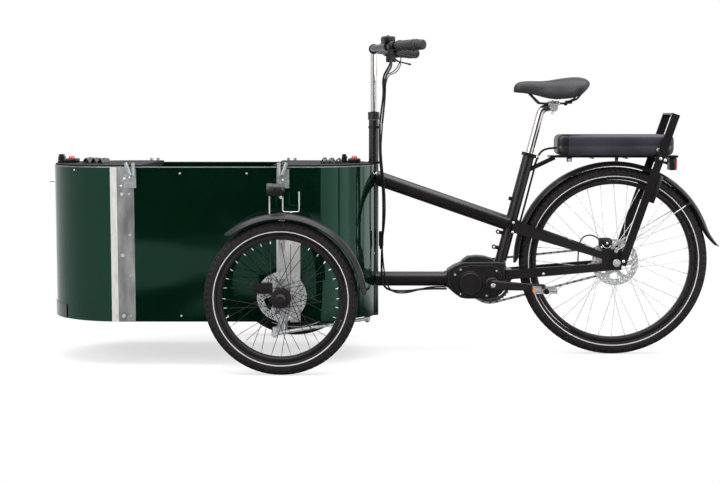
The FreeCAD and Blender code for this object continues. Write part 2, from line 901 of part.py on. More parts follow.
def bow_bracket(name, side, low_x, leans_forward):
    """A plate with two sockets for canopy bows, one upright and one leaning.

    Where no seam strip lies under it, the plate is thicker by as much.
    """
    plate_y = size("box_half_width") + size("strip_thickness")
    thickness = size("bracket_thickness")
    depth = "Dim.bracket_thickness" if leans_forward else "Dim.bracket_thickness + Dim.strip_thickness"
    seat_y = plate_y if leans_forward else size("box_half_width")
    low_y = seat_y if side > 0 else -plate_y - thickness
    bottom = box_rim - size("bracket_drop") - size("bracket_height")
    plate = box(
        name + "_plate",
        ("Dim.bracket_width", depth, "Dim.bracket_height"),
        Vector(low_x, low_y, bottom),
    )
    socket_y = side * (plate_y + thickness + size("bow_socket_radius") - gap)
    inset = size("bow_socket_inset")
    far_x = low_x + size("bracket_width") - inset
    near_x = low_x + inset
    upright_x = far_x if leans_forward else near_x
    leaning_x = near_x if leans_forward else far_x
    tilt = math.radians(size("bow_socket_tilt"))
    lean = Vector(math.sin(tilt) * (-1 if leans_forward else 1), 0, math.cos(tilt))
    length = size("bow_socket_length")
    upright_start = Vector(upright_x, socket_y, box_rim + size("bow_socket_proud") - length)
    leaning_start = Vector(leaning_x, socket_y, box_rim + size("bow_socket_proud")) - lean * length
    outsides = [plate]
    bores = []
    for socket, start, axis in (("upright", upright_start, Z_AXIS), ("leaning", leaning_start, lean)):
        outsides.append(
            cylinder(name + "_" + socket, "Dim.bow_socket_radius", "Dim.bow_socket_length", start, axis)
        )
        bores.append(
            cylinder(
                name + "_" + socket + "_bore", "Dim.bow_socket_bore", "Dim.bow_socket_length", start, axis
            )
        )
    return cut(name, fuse(name + "_whole", *outsides), *bores)


def make_canopy_brackets():
    brackets = []
    for side_name, side in SIDES.items():
        brackets.append(bow_bracket("FrontBow_" + side_name, side, front_arc_x + size("front_bracket_offset"), True))
        brackets.append(bow_bracket("RearBow_" + side_name, side, rear_arc_x + size("rear_bracket_offset"), False))
    node("canopy_brackets", group("CanopyBrackets", *brackets))


# Shares of the straight wall, from its front end, at which the panel screws sit
PANEL_SCREWS = {"high": (0.35, 0.72), "low": (0.35, 0.61)}


def rivet(name, seat, axis):
    return cylinder(name, "Dim.rivet_radius", "Dim.rivet_height", seat, axis)


def bolt(name, seat, axis):
    return cylinder(name, "Dim.bolt_radius", "Dim.bolt_height", seat, axis)


def strip_fasteners(side_name, side, at_front):
    """Two rows of rivets along a strip, and bolts down the middle of the front one."""
    place = "front" if at_front else "rear"
    low_x, high_x = strip_range(at_front)
    inset = size("rivet_inset")
    bracket_bottom = box_rim - size("bracket_drop") - size("bracket_height")
    first_z = box_bottom + inset if at_front else beam_top + inset
    last_z = bracket_bottom - inset if at_front else box_bottom + size("rear_plate_height") - inset
    edge = size("rivet_column_inset")
    rows = int(size("strip_rivet_rows" if at_front else "plate_rivet_rows"))
    columns = [("ahead", low_x + edge, rows, rivet), ("behind", high_x - edge, rows, rivet)]
    if at_front:
        columns.append(("middle", (low_x + high_x) / 2, int(size("strip_bolt_rows")), bolt))
    pieces = []
    for column, x, count, kind in columns:
        for index in range(count):
            height = first_z + (last_z - first_z) * index / (count - 1)
            seat = Vector(x, side * (size("box_half_width") + size("strip_thickness")), height)
            pieces.append(kind("Strip_%s_%s_%s_%d" % (place, column, side_name, index), seat, Y_AXIS * side))
    return pieces


def make_fasteners():
    pieces = []
    heights = {"low": box_bottom + size("rivet_inset"), "high": box_rim - size("rivet_inset")}
    for side_name, side in SIDES.items():
        pieces += strip_fasteners(side_name, side, True)
        pieces += strip_fasteners(side_name, side, False)
        for level, shares in PANEL_SCREWS.items():
            for index, share in enumerate(shares):
                x = front_arc_x + (rear_arc_x - front_arc_x) * share
                seat = Vector(x, side * size("box_half_width"), heights[level])
                pieces.append(rivet("Side_%s_%s_%d" % (level, side_name, index), seat, Y_AXIS * side))
    pieces.append(
        cylinder(
            "NosePin",
            "Dim.rivet_radius",
            "Dim.nose_pin_length",
            Vector(size("box_nose_x"), 0, box_rim - size("nose_pin_drop")),
            -X_AXIS,
        )
    )
    half_angle = size("nose_patch_half_angle")
    pieces.append(
        bent_sheet(
            "NosePatch",
            "Dim.box_half_width + Dim.fit_gap + Dim.strip_thickness",
            "Dim.strip_thickness",
            box_bottom,
            "Dim.nose_patch_height",
            front_arc_x,
            180 - half_angle,
            2 * half_angle,
        )
    )
    node("box_fasteners", group("BoxFasteners", *pieces))


def fold_profile(start_x, floor_z):
    """Webbing laid in folds: a row of low arches over a flat foot."""
    fold = size("strap_fold_length")
    rise = size("strap_fold_height")
    count = int(size("strap_folds"))
    low = floor_z + rise / 3
    edges = []
    here = Vector(start_x, 0, floor_z)
    shoulder = Vector(start_x, 0, low)
    edges.append(Part.LineSegment(here, shoulder).toShape())
    for index in range(count):
        top = Vector(start_x + fold * (index + 0.5), 0, floor_z + rise * (1 - 0.12 * index))
        after = Vector(start_x + fold * (index + 1), 0, low)
        edges.append(Part.Arc(shoulder, top, after).toShape())
        shoulder = after
    foot = Vector(shoulder.x, 0, floor_z)
    edges.append(Part.LineSegment(shoulder, foot).toShape())
    edges.append(Part.LineSegment(foot, here).toShape())
    return Part.Face(Part.Wire(edges))


def make_harness():
    floor_z = board_top + gap
    width = size("strap_bunch_width")
    pieces = []
    for place, end_x in (("front", size("box_nose_x")), ("rear", column_x)):
        face = fold_profile(end_x + size(place + "_strap_x"), floor_z)
        face.translate(Vector(0, -width / 2, 0))
        pieces.append(feature("Straps_" + place, face.extrude(Y_AXIS * width)))
        centre_x = end_x + size(place + "_buckle_x")
        half_length = size("buckle_length") / 2
        half_width = size("buckle_width") / 2
        case = box(
            "BuckleCase_" + place,
            ("Dim.buckle_width", "Dim.buckle_length", "Dim.buckle_height"),
            Vector(centre_x - half_width, -half_length, floor_z),
        )
        top = floor_z + size("buckle_height")
        well = cylinder(
            "ButtonWell_" + place,
            "Dim.button_radius + Dim.fit_gap",
            "Dim.button_well",
            Vector(centre_x, 0, top - size("button_well")),
        )
        pieces.append(cut("Buckle_" + place, case, well))
        button_start = Vector(centre_x, 0, top - size("button_sunk"))
        node(
            place + "_harness_button",
            cylinder("Button_" + place, "Dim.button_radius", "Dim.button_height", button_start),
        )
    node("harness", group("Harness", *pieces))


# Steering


def arm_vector(side):
    return Vector(size("arm_reach_x"), side * size("arm_reach_y"), 0)


def ball_stud(name, top):
    """A stud that hangs below an arm and carries a rod end."""
    shank = cylinder(name + "_shank", "Dim.ball_stud_radius", "Dim.ball_stud_length", top, -Z_AXIS)
    head_top = top - Z_AXIS * size("ball_stud_length")
    head = cylinder(
        name + "_head", "Dim.ball_stud_head_radius", "Dim.ball_stud_head_height", head_top, -Z_AXIS
    )
    return [shank, head]


def flat_arm(name, pivot, side, bottom, height):
    """A bar from a pivot to its ball stud."""
    reach = arm_vector(side)
    along = Vector(reach).normalize()
    across = Z_AXIS.cross(along)
    half = size("arm_width") / 2
    corner = Vector(pivot.x, pivot.y, bottom) - across * half
    length = "%r + Dim.arm_overhang" % reach.Length
    return box(name, (length, "Dim.arm_width", height), corner, Rotation(along, across, Z_AXIS, "ZXY"))


def make_steering_shaft():
    axis = Vector(column_x, 0, arm_bottom)
    shaft = cylinder(
        "ShaftBody", "Dim.column_bore - Dim.fit_gap", "Dim.column_length + Dim.arm_drop - Dim.column_drop", axis
    )
    hub = cylinder("PitmanHub", "Dim.column_radius", "Dim.pitman_thickness", axis)
    pieces = [shaft, hub]
    for side_name, side in SIDES.items():
        pieces.append(flat_arm("Pitman_" + side_name, axis, side, axis.z, "Dim.pitman_thickness"))
        pieces += ball_stud("PitmanStud_" + side_name, axis + arm_vector(side))
    node("steering_shaft", fuse("SteeringShaft", *pieces))


def bar_points():
    z = column_top + size("bar_rise")
    centre = size("bar_centre_half")
    knee = Vector(column_x + size("bar_knee_x"), size("bar_knee_y"), z)
    tip = Vector(column_x + size("bar_tip_x"), size("bar_tip_y"), z)
    half = [Vector(column_x, centre, z), knee, tip]
    mirrored = [Vector(p.x, -p.y, p.z) for p in reversed(half)]
    return mirrored + half


def make_stem():
    base = Vector(column_x, 0, column_top + gap)
    collar = cylinder("StemCollar", "Dim.collar_radius", "Dim.collar_height", base)
    post = cylinder("StemPost", "Dim.stem_radius", "Dim.bar_rise - Dim.fit_gap", base)
    half = size("stem_clamp_width") / 2
    clamp_start = Vector(column_x, -half, column_top + size("bar_rise"))
    clamp = cylinder("StemClamp", "Dim.stem_clamp_radius", "Dim.stem_clamp_width", clamp_start, Y_AXIS)
    hole = cylinder(
        "StemBarHole", "Dim.bar_radius + Dim.fit_gap", "Dim.stem_clamp_width", clamp_start, Y_AXIS
    )
    node("stem", cut("Stem", fuse("StemWhole", collar, post, clamp), hole))


def make_handlebar():
    bar = round_bar(bar_points(), size("bar_radius"), size("bar_bend"))
    node("handlebar", feature("Handlebar", bar))
    grips = []
    for side_name, side in SIDES.items():
        knee, tip = bar_side(side)
        along = (tip - knee).normalize()
        start = tip + along * (size("grip_cap") + gap)
        sleeve = cylinder("GripSleeve_" + side_name, "Dim.grip_radius", "Dim.grip_length", start, -along)
        bore_start = tip + along * gap
        bore = cylinder(
            "GripBore_" + side_name, "Dim.bar_radius + Dim.fit_gap", "Dim.grip_length", bore_start, -along
        )
        grips.append(cut("Grip_" + side_name, sleeve, bore))
    node("grips", group("Grips", *grips))


def bar_side(side):
    points = bar_points()
    return (points[4], points[5]) if side > 0 else (points[1], points[0])


def lever_frame(side):
    """Pivot, direction along the grip and direction across it."""
    knee, tip = bar_side(side)
    along = (tip - knee).normalize()
    across = Z_AXIS.cross(along)
    drop = size("bar_radius") + gap + size("perch_size") / 2
    return knee - Z_AXIS * drop, along, across


def make_controls():
    pieces = []
    for side_name, side in SIDES.items():
        pivot, along, across = lever_frame(side)
        turn = Rotation(along, across, Z_AXIS, "ZXY")
        half = size("perch_size") / 2
        corner = pivot - along * half - across * (size("perch_width") / 2) - Z_AXIS * half
        block = box(
            "PerchBlock_" + side_name, ("Dim.perch_size", "Dim.perch_width", "Dim.perch_size"), corner, turn
        )
        slot_half = size("lever_width") / 2 + gap
        slot = box(
            "PerchSlot_" + side_name,
            ("2 * Dim.perch_size", "Dim.lever_width + 2 * Dim.fit_gap", "Dim.perch_size"),
            pivot - along * half / 2 - across * slot_half - Z_AXIS * (half + half / 2),
            turn,
        )
        hole = cylinder(
            "PerchHole_" + side_name,
            "Dim.lever_pin_radius + Dim.fit_gap",
            "Dim.perch_width",
            pivot - across * (size("perch_width") / 2),
            across,
        )
        pieces.append(cut("Perch_" + side_name, block, slot, hole))
        knee = bar_side(side)[0]
        points = bar_points()
        bar_start = points[3] if side > 0 else points[2]
        inward = (bar_start - knee).normalize()
        pod_across = Z_AXIS.cross(inward)
        pod_turn = Rotation(inward, pod_across, Z_AXIS, "ZXY")
        pod_bottom = size("bar_radius") + gap
        pod_corner = knee + inward * size("pod_inboard") - pod_across * (size("pod_width") / 2)
        pod_corner = pod_corner + Z_AXIS * pod_bottom
        pod = box(
            "PodCase_" + side_name, ("Dim.pod_length", "Dim.pod_width", "Dim.pod_height"), pod_corner, pod_turn
        )
        if side > 0:
            pieces.append(pod)
            continue
        top = knee + inward * (size("pod_inboard") + size("pod_length") / 2)
        top = top + Z_AXIS * (pod_bottom + size("pod_height"))
        well = cylinder(
            "PodWell", "Dim.pod_button_radius + Dim.fit_gap", "Dim.pod_button_depth", top, -Z_AXIS
        )
        pieces.append(cut("Pod_" + side_name, pod, well))
        button_start = top - Z_AXIS * (size("pod_button_depth") / 2)
        node(
            "assist_button",
            cylinder("AssistButton", "Dim.pod_button_radius", "Dim.pod_button_height", button_start),
        )
    node("controls", group("Controls", *pieces))


def make_brake_levers():
    tilt = size("lever_tilt")
    for side_name, side in SIDES.items():
        pivot, along, across = lever_frame(side)
        down = Rotation(across, tilt)
        blade_along = down.multVec(along)
        blade_up = down.multVec(Z_AXIS)
        turn = Rotation(blade_along, across, blade_up, "ZXY")
        half_width = size("lever_width") / 2
        half_thickness = size("lever_thickness") / 2
        corner = pivot - across * half_width - blade_up * half_thickness
        blade = box(
            "LeverBlade_" + side_name,
            ("Dim.lever_length", "Dim.lever_width", "Dim.lever_thickness"),
            corner,
            turn,
        )
        knuckle = cylinder(
            "LeverRoot_" + side_name, "Dim.lever_thickness / 2", "Dim.lever_width", pivot - across * half_width, across
        )
        pin = cylinder(
            "LeverPin_" + side_name,
            "Dim.lever_pin_radius",
            "Dim.perch_width",
            pivot - across * (size("perch_width") / 2),
            across,
        )
        node(side_name + "_brake_lever", fuse("BrakeLever_" + side_name, blade, knuckle, pin))


def make_tie_rod(side_name, side):
    height = "Dim.rod_end_height"
    top = arm_bottom - gap
    inner = Vector(column_x, 0, 0) + arm_vector(side)
    outer = Vector(front_axle_x, side * kingpin_y, 0) + arm_vector(side)
    inner.z = top - size("rod_end_height")
    outer.z = inner.z
    pieces = []
    bores = []
    for end, place in (("inner", inner), ("outer", outer)):
        pieces.append(cylinder("RodEnd_%s_%s" % (side_name, end), "Dim.rod_end_radius", height, place))
        bores.append(
            cylinder(
                "RodBore_%s_%s" % (side_name, end), "Dim.ball_stud_radius + Dim.fit_gap", height, place
            )
        )
    middle = Z_AXIS * (size("rod_end_height") / 2)
    run = outer - inner
    pieces.append(cylinder("Rod_" + side_name, "Dim.tie_rod_radius", "%r" % run.Length, inner + middle, run))
    whole = fuse("TieRodWhole_" + side_name, *pieces)
    node(side_name + "_tie_rod", cut("TieRod_" + side_name, whole, *bores))


def make_knuckle(side_name, side):
    kingpin = Vector(front_axle_x, side * kingpin_y, 0)
    low = beam_bottom - gap - size("cheek_thickness")
    high = housing_top + gap
    top = high + size("cheek_thickness")
    half = size("cheek_half_length")
    offset = size("knuckle_plate_offset")
    outer = offset + size("knuckle_plate_thickness")
    inboard = size("cheek_inboard")

    def outward_box(name, lengths, x, near, far, z):
        low_y = kingpin.y + (near if side > 0 else -far)
        return box(name, lengths, Vector(x, low_y, z))

    cheek_width = "Dim.cheek_inboard + Dim.knuckle_plate_offset + Dim.knuckle_plate_thickness"
    cheek = ("2 * Dim.cheek_half_length", cheek_width, "Dim.cheek_thickness")
    plate = (
        "2 * Dim.cheek_half_length",
        "Dim.knuckle_plate_thickness",
        "Dim.kingpin_housing_height + 2 * Dim.cheek_thickness + 2 * Dim.fit_gap",
    )
    left_x = kingpin.x - half
    guard_inside = size("front_wheel_radius") + size("mudguard_clearance")
    tab_top = size("front_wheel_radius") + guard_inside - 2 * gap
    tab_bottom = tab_top - size("guard_tab_height")
    strut_half = size("guard_strut_width") / 2
    stub_length = "Dim.kingpin_inset + Dim.front_hub_outer - Dim.hub_cap_thickness - Dim.fit_gap"
    stub_length += " - Dim.knuckle_plate_offset"
    stub_start = Vector(kingpin.x, kingpin.y + side * offset, size("front_wheel_radius"))
    pieces = [
        outward_box("CheekLow_" + side_name, cheek, left_x, -inboard, outer, low),
        outward_box("CheekHigh_" + side_name, cheek, left_x, -inboard, outer, high),
        outward_box("KnucklePlate_" + side_name, plate, left_x, offset, outer, low),
        cylinder(
            "Kingpin_" + side_name,
            "Dim.kingpin_radius",
            "Dim.kingpin_housing_height + 2 * Dim.cheek_thickness + 2 * Dim.fit_gap",
            Vector(kingpin.x, kingpin.y, low),
        ),
        cylinder("Stub_" + side_name, "Dim.stub_radius", stub_length, stub_start, Y_AXIS * side),
        flat_arm(
            "KnuckleArm_" + side_name,
            kingpin,
            side,
            arm_bottom,
            "Dim.arm_height",
        ),
        cylinder(
            "ArmBoss_" + side_name,
            "Dim.arm_boss_radius",
            "Dim.arm_drop - Dim.beam_drop - Dim.fit_gap - Dim.cheek_thickness",
            Vector(kingpin.x, kingpin.y, arm_bottom),
        ),
        outward_box(
            "GuardStrut_" + side_name,
            ("Dim.guard_strut_width", "Dim.knuckle_plate_thickness", "%r" % (tab_top - top)),
            kingpin.x - strut_half,
            offset,
            outer,
            top,
        ),
        outward_box(
            "GuardTab_" + side_name,
            ("Dim.guard_strut_width", "Dim.guard_tab_reach", "Dim.guard_tab_height"),
            kingpin.x - strut_half,
            offset,
            offset + size("guard_tab_reach"),
            tab_bottom,
        ),
    ]
    stud_top = kingpin + arm_vector(side) + Z_AXIS * arm_bottom
    pieces += ball_stud("KnuckleStud_" + side_name, stud_top)
    calliper = make_front_calliper(side_name, side, kingpin)
    node(side_name + "_knuckle", group("Knuckle_" + side_name, fuse("KnuckleBody_" + side_name, *pieces), calliper))


def make_front_calliper(side_name, side, kingpin):
    """Brake calliper on the front edge of the knuckle plate, astride the disc."""
    near = size("knuckle_plate_offset")
    disc_y = wheel_plane - size("front_hub_inner") - size("disc_thickness")
    far = disc_y + size("disc_thickness") + size("calliper_jaw") - kingpin_y
    front_x = kingpin.x - size("disc_radius") - size("calliper_overhang")
    low_y = kingpin.y + (near if side > 0 else -far)
    low_z = size("front_wheel_radius") + size("calliper_overhang")
    block = box(
        "CalliperBlock_" + side_name,
        (
            "Dim.disc_radius + Dim.calliper_overhang - Dim.cheek_half_length",
            "%r" % (far - near),
            "Dim.front_calliper_height",
        ),
        Vector(front_x, low_y, low_z),
    )
    slot_y = side * (disc_y - size("disc_clearance"))
    slot = cylinder(
        "CalliperSlot_" + side_name,
        "Dim.disc_radius + Dim.disc_clearance",
        "Dim.disc_thickness + 2 * Dim.disc_clearance",
        Vector(kingpin.x, slot_y, size("front_wheel_radius")),
        Y_AXIS * side,
    )
    return cut("Calliper_" + side_name, block, slot)


def make_front_mudguard(side_name, side):
    centre = Vector(front_axle_x, side * wheel_plane, size("front_wheel_radius"))
    outer = "Dim.front_wheel_radius + Dim.mudguard_clearance + Dim.mudguard_thickness"
    guard = curved_band(
        "FrontGuard_" + side_name,
        outer,
        "Dim.mudguard_thickness",
        "Dim.mudguard_width",
        "Dim.front_guard_sweep_angle",
        centre + Y_AXIS * (size("mudguard_width") / 2),
        size("front_guard_start_angle"),
    )
    radius = size("front_wheel_radius") + size("mudguard_clearance") + size("mudguard_thickness")
    lamp_z = centre.z + radius + size("lamp_rise")
    lamp_front_x = front_axle_x + size("lamp_front_x")
    lamp_start = Vector(lamp_front_x, centre.y, lamp_z)
    lamp = cylinder("LampCase_" + side_name, "Dim.lamp_radius", "Dim.lamp_length", lamp_start, X_AXIS)
    rod_x = lamp_front_x + 2 * size("lamp_rod_radius")
    rod_foot = centre.z + math.sqrt(radius ** 2 - (rod_x - centre.x) ** 2)
    rod_start = Vector(rod_x, centre.y, rod_foot)
    rod = cylinder("LampRod_" + side_name, "Dim.lamp_rod_radius", "%r" % (lamp_z - rod_foot), rod_start)
    wire_radius = size("lamp_wire_radius")
    wire_x = front_axle_x + size("lamp_wire_x")
    wire_low = centre.z + radius + wire_radius + gap
    far_x = wire_x + size("lamp_wire_span")
    wire_points = [
        Vector(wire_x, centre.y, lamp_z - size("lamp_radius") - gap),
        Vector(wire_x, centre.y, wire_low),
        Vector(far_x, centre.y, wire_low),
        Vector(far_x, centre.y, centre.z + radius + size("lamp_wire_top")),
    ]
    wire = feature("LampWire_" + side_name, round_bar(wire_points, wire_radius, size("lamp_wire_bend")))
    node(
        side_name + "_front_mudguard",
        group("FrontMudguard_" + side_name, guard, fuse("Lamp_" + side_name, lamp, rod), wire),
    )


# Wheels


def tyre_shape(centre, radius, bead):
    """The round tyre section above the bead, turned about the axle."""
    half = size("tyre_section") / 2
    middle = radius - half
    reach = math.sqrt(half ** 2 - (bead - middle) ** 2)
    left_bead = centre + Vector(bead, -reach, 0)
    right_bead = centre + Vector(bead, reach, 0)
    tread = centre + Vector(radius, 0, 0)
    crown = Part.Arc(left_bead, tread, right_bead).toShape()
    foot = Part.LineSegment(right_bead, left_bead).toShape()
    return Part.Face(Part.Wire([crown, foot])).revolve(centre, Y_AXIS, 360)


def make_tyre_and_rim(name, kind, centre):
    radius = size(kind + "_wheel_radius")
    bead_radius = radius - size(kind + "_bead_depth") + gap
    node(name + "_tyre", feature(name + "_Tyre", tyre_shape(centre, radius, bead_radius)))
    bead = "(Dim.%s_wheel_radius - Dim.%s_bead_depth)" % (kind, kind)
    start = centre - Y_AXIS * (size("rim_width") / 2)
    return tube(name + "_Rim", bead, bead + " - Dim.rim_depth", "Dim.rim_width", start, Y_AXIS)


def spoke_set(centre, bead_radius, flange_offset):
    """Laced spokes from both hub flanges to the rim."""
    count = int(size("spoke_count"))
    rim_radius = bead_radius - size("rim_depth") - gap
    hub_radius = size("hub_flange_radius") + gap
    cross = math.radians(size("spoke_cross_angle"))
    stagger = size("spoke_stagger")
    spokes = []
    for index in range(count):
        side = 1 if index % 2 else -1
        lean = 1 if index // 2 % 2 else -1
        angle = 2 * math.pi * index / count
        hub_angle = angle + lean * cross
        hub_y = side * (flange_offset + lean * stagger)
        hub_point = Vector(hub_radius * math.cos(hub_angle), hub_y, hub_radius * math.sin(hub_angle))
        rim_y = side * size("rim_width") / 8
        rim_point = Vector(rim_radius * math.cos(angle), rim_y, rim_radius * math.sin(angle))
        run = rim_point - hub_point
        spokes.append(Part.makeCylinder(size("spoke_radius"), run.Length, centre + hub_point, run))
    return Part.makeCompound(spokes)


def hub_flanges(name, centre, offset):
    flanges = []
    half = size("hub_flange_thickness") / 2
    for side_name, side in SIDES.items():
        start = centre + Y_AXIS * (side * size(offset) - half)
        flanges.append(
            cylinder(
                "%s_flange_%s" % (name, side_name),
                "Dim.hub_flange_radius",
                "Dim.hub_flange_thickness",
                start,
                Y_AXIS,
            )
        )
    return flanges


def make_front_wheel(side_name, side):
    name = side_name + "_front"
    centre = Vector(front_axle_x, side * wheel_plane, size("front_wheel_radius"))
    inward = -Y_AXIS * side
    rim = make_tyre_and_rim(name, "front", centre)
    spokes = feature(
        name + "_SpokeSet", spoke_set(centre, size("front_wheel_radius") - size("front_bead_depth"), size("front_flange_offset"))
    )
    node(name + "_rim", rim)
    start = centre - inward * size("front_hub_outer")
    length = "Dim.front_hub_outer + Dim.front_hub_inner"
    core = cylinder(name + "_core", "Dim.hub_core_radius", length, start, inward)
    body = fuse(name + "_hub_whole", core, *hub_flanges(name, centre, "front_flange_offset"))
    bore = cylinder(
        name + "_hub_bore",
        "Dim.stub_radius + Dim.fit_gap",
        length + " - Dim.hub_cap_thickness",
        start + inward * size("hub_cap_thickness"),
        inward,
    )
    disc_start = centre + inward * size("front_hub_inner")
    disc = tube(name + "_Disc", "Dim.disc_radius", "Dim.disc_bore", "Dim.disc_thickness", disc_start, inward)
    node(name + "_hub", group(name + "_Hub", cut(name + "_HubShell", body, bore), disc, spokes))


def make_rear_wheel():
    rim = make_tyre_and_rim("rear", "rear", rear_axle)
    node("rear_rim", rim)
    spokes = spoke_set(rear_axle, size("rear_wheel_radius") - size("rear_bead_depth"), size("rear_flange_offset"))
    node("rear_spokes", feature("RearSpokes", spokes))
    start = rear_axle - Y_AXIS * size("rear_hub_disc_side")
    length = "Dim.rear_hub_disc_side + Dim.rear_hub_drive_side"
    core = cylinder("RearHubCore", "Dim.hub_core_radius", length, start, Y_AXIS)
    body = fuse("RearHubWhole", core, *hub_flanges("Rear", rear_axle, "rear_flange_offset"))
    bore = cylinder("RearHubBore", "Dim.rear_axle_radius + Dim.fit_gap", length, start, Y_AXIS)
    disc = tube("RearDisc", "Dim.disc_radius", "Dim.disc_bore", "Dim.disc_thickness", start, -Y_AXIS)
    node("rear_hub", group("RearHub", cut("RearHubShell", body, bore), disc))


def make_rear_calliper():
    plate_top = rear_axle.z + size("dropout_top")
    outer = size("dropout_inner") + size("dropout_thickness")
    disc_y = size("rear_hub_disc_side") + size("disc_thickness")
    inner = disc_y - size("disc_thickness") - size("calliper_jaw")
    front_x = rear_axle.x - size("dropout_front") - size("calliper_overhang")
    block = box(
        "RearCalliperBlock",
        ("Dim.rear_calliper_length", "%r" % (outer - inner), "Dim.rear_calliper_height"),
        Vector(front_x, -outer, plate_top),
    )
    slot = cylinder(
        "RearCalliperSlot",
        "Dim.disc_radius + Dim.disc_clearance",
        "Dim.disc_thickness + 2 * Dim.disc_clearance",
        Vector(rear_axle.x, -disc_y - size("disc_clearance"), rear_axle.z),
        Y_AXIS,
    )
    node("rear_calliper", cut("RearCalliper", block, slot))


# Drive


def pitch_radius(teeth):
    return size("chain_pitch") / (2 * math.sin(math.pi / teeth))


def ring_expression(teeth, offset):
    return "Dim.chain_pitch / (2 * sin(180 deg / Dim.%s)) - %s" % (teeth, offset)


def belt_wire(offset):
    """Closed loop around chainring and sprocket, at an offset from the pitch line."""
    big = pitch_radius(size("chainring_teeth")) + offset
    small = pitch_radius(size("sprocket_teeth")) + offset
    front = Vector(crank_centre.x, 0, crank_centre.z)
    rear = Vector(rear_axle.x, 0, rear_axle.z)
    along = (rear - front).normalize()
    distance = (rear - front).Length
    up = Vector(-along.z, 0, along.x)
    lean = math.asin((big - small) / distance)
    upper = along * math.sin(lean) + up * math.cos(lean)
    lower = along * math.sin(lean) - up * math.cos(lean)
    front_top = front + upper * big
    front_low = front + lower * big
    rear_top = rear + upper * small
    rear_low = rear + lower * small
    edges = [
        Part.LineSegment(front_top, rear_top).toShape(),
        Part.Arc(rear_top, rear + along * small, rear_low).toShape(),
        Part.LineSegment(rear_low, front_low).toShape(),
        Part.Arc(front_low, front - along * big, front_top).toShape(),
    ]
    return Part.Wire(edges)


def make_chain():
    outside = Part.Face(belt_wire(size("chain_outer_depth")))
    inside = Part.Face(belt_wire(-size("chain_inner_depth")))
    width = size("chain_width")
    band = outside.extrude(Y_AXIS * width).cut(inside.extrude(Y_AXIS * width))
    band.translate(Y_AXIS * (size("chain_line") - width / 2))
    node("chain", feature("Chain", band))


def make_motor():
    front = before_wheel("motor_front_x")
    rear = before_wheel("motor_rear_x")
    top = at_axle_height("motor_top")
    bottom = at_axle_height("motor_bottom")
    outline = [
        Vector(front, 0, at_axle_height("motor_nose_bottom")),
        Vector(front, 0, at_axle_height("motor_nose_top")),
        Vector(before_wheel("motor_shoulder_x"), 0, top),
        Vector(rear, 0, top),
        Vector(rear, 0, at_axle_height("motor_nose_bottom")),
        Vector(before_wheel("motor_heel_x"), 0, bottom),
        Vector(before_wheel("motor_shoulder_x"), 0, bottom),
    ]
    face = Part.Face(Part.makePolygon(outline + outline[:1]))
    face.translate(Vector(0, -size("motor_left"), 0))
    solid = face.extrude(Y_AXIS * (size("motor_left") + size("motor_right")))
    sharp = {(round(front), round(at_axle_height("motor_nose_bottom"))), (round(front), round(at_axle_height("motor_nose_top")))}
    sharp |= {(round(rear), round(top)), (round(rear), round(at_axle_height("motor_nose_bottom")))}
    rounded = []
    for edge in solid.Edges:
        first = edge.Vertexes[0].Point
        last = edge.Vertexes[-1].Point
        across = abs(first.x - last.x) < gap and abs(first.z - last.z) < gap
        if across and (round(first.x), round(first.z)) not in sharp:
            rounded.append(edge)
    solid = solid.makeFillet(size("motor_corner"), rounded)
    case = feature("MotorCase", solid)
    bore_start = crank_centre - Y_AXIS * (2 * size("motor_left"))
    bore = cylinder(
        "MotorBore", "Dim.spindle_radius + Dim.fit_gap", "4 * Dim.motor_left", bore_start, Y_AXIS
    )
    cover_start = Vector(before_wheel("motor_cover_x"), -size("motor_left"), crank_centre.z)
    cover = cylinder(
        "MotorCover", "Dim.motor_cover_radius", "Dim.motor_cover_depth", cover_start, -Y_AXIS
    )
    node("motor_housing", group("MotorHousing", cut("MotorShell", case, bore), cover))


def crank_direction(side):
    angle = math.radians(size("crank_angle"))
    forward = Vector(math.cos(angle), 0, math.sin(angle))
    return forward if side < 0 else -forward


def make_crank():
    half = size("crank_arm_inner") + size("crank_arm_thickness")
    spindle = cylinder(
        "Spindle",
        "Dim.spindle_radius",
        "2 * (Dim.crank_arm_inner + Dim.crank_arm_thickness)",
        crank_centre - Y_AXIS * half,
        Y_AXIS,
    )
    pieces = [spindle]
    for side_name, side in SIDES.items():
        along = crank_direction(side)
        outward = Y_AXIS * side
        up = along.cross(outward)
        arm_half = size("crank_arm_width") / 2
        corner = crank_centre + outward * size("crank_arm_inner") - along * arm_half - up * arm_half
        turn = Rotation(along, outward, up, "ZXY")
        pieces.append(
            box(
                "CrankArm_" + side_name,
                ("Dim.crank_length + Dim.crank_arm_width", "Dim.crank_arm_thickness", "Dim.crank_arm_width"),
                corner,
                turn,
            )
        )
        pedal_start = crank_centre + along * size("crank_length") + outward * size("crank_arm_inner")
        pieces.append(
            cylinder(
                "PedalSpindle_" + side_name,
                "Dim.pedal_spindle_radius",
                "Dim.pedal_inner + Dim.pedal_width - Dim.crank_arm_inner",
                pedal_start,
                outward,
            )
        )
    body = fuse("CrankBody", *pieces)
    start = crank_centre + Y_AXIS * (size("chain_line") - size("ring_thickness") / 2)
    inset = "Dim.chain_inner_depth - Dim.tooth_clearance"
    ring = tube(
        "Chainring",
        ring_expression("chainring_teeth", inset),
        "Dim.spindle_radius + Dim.fit_gap",
        "Dim.ring_thickness",
        start,
        Y_AXIS,
    )
    node("crank_set", group("CrankSet", body, ring))


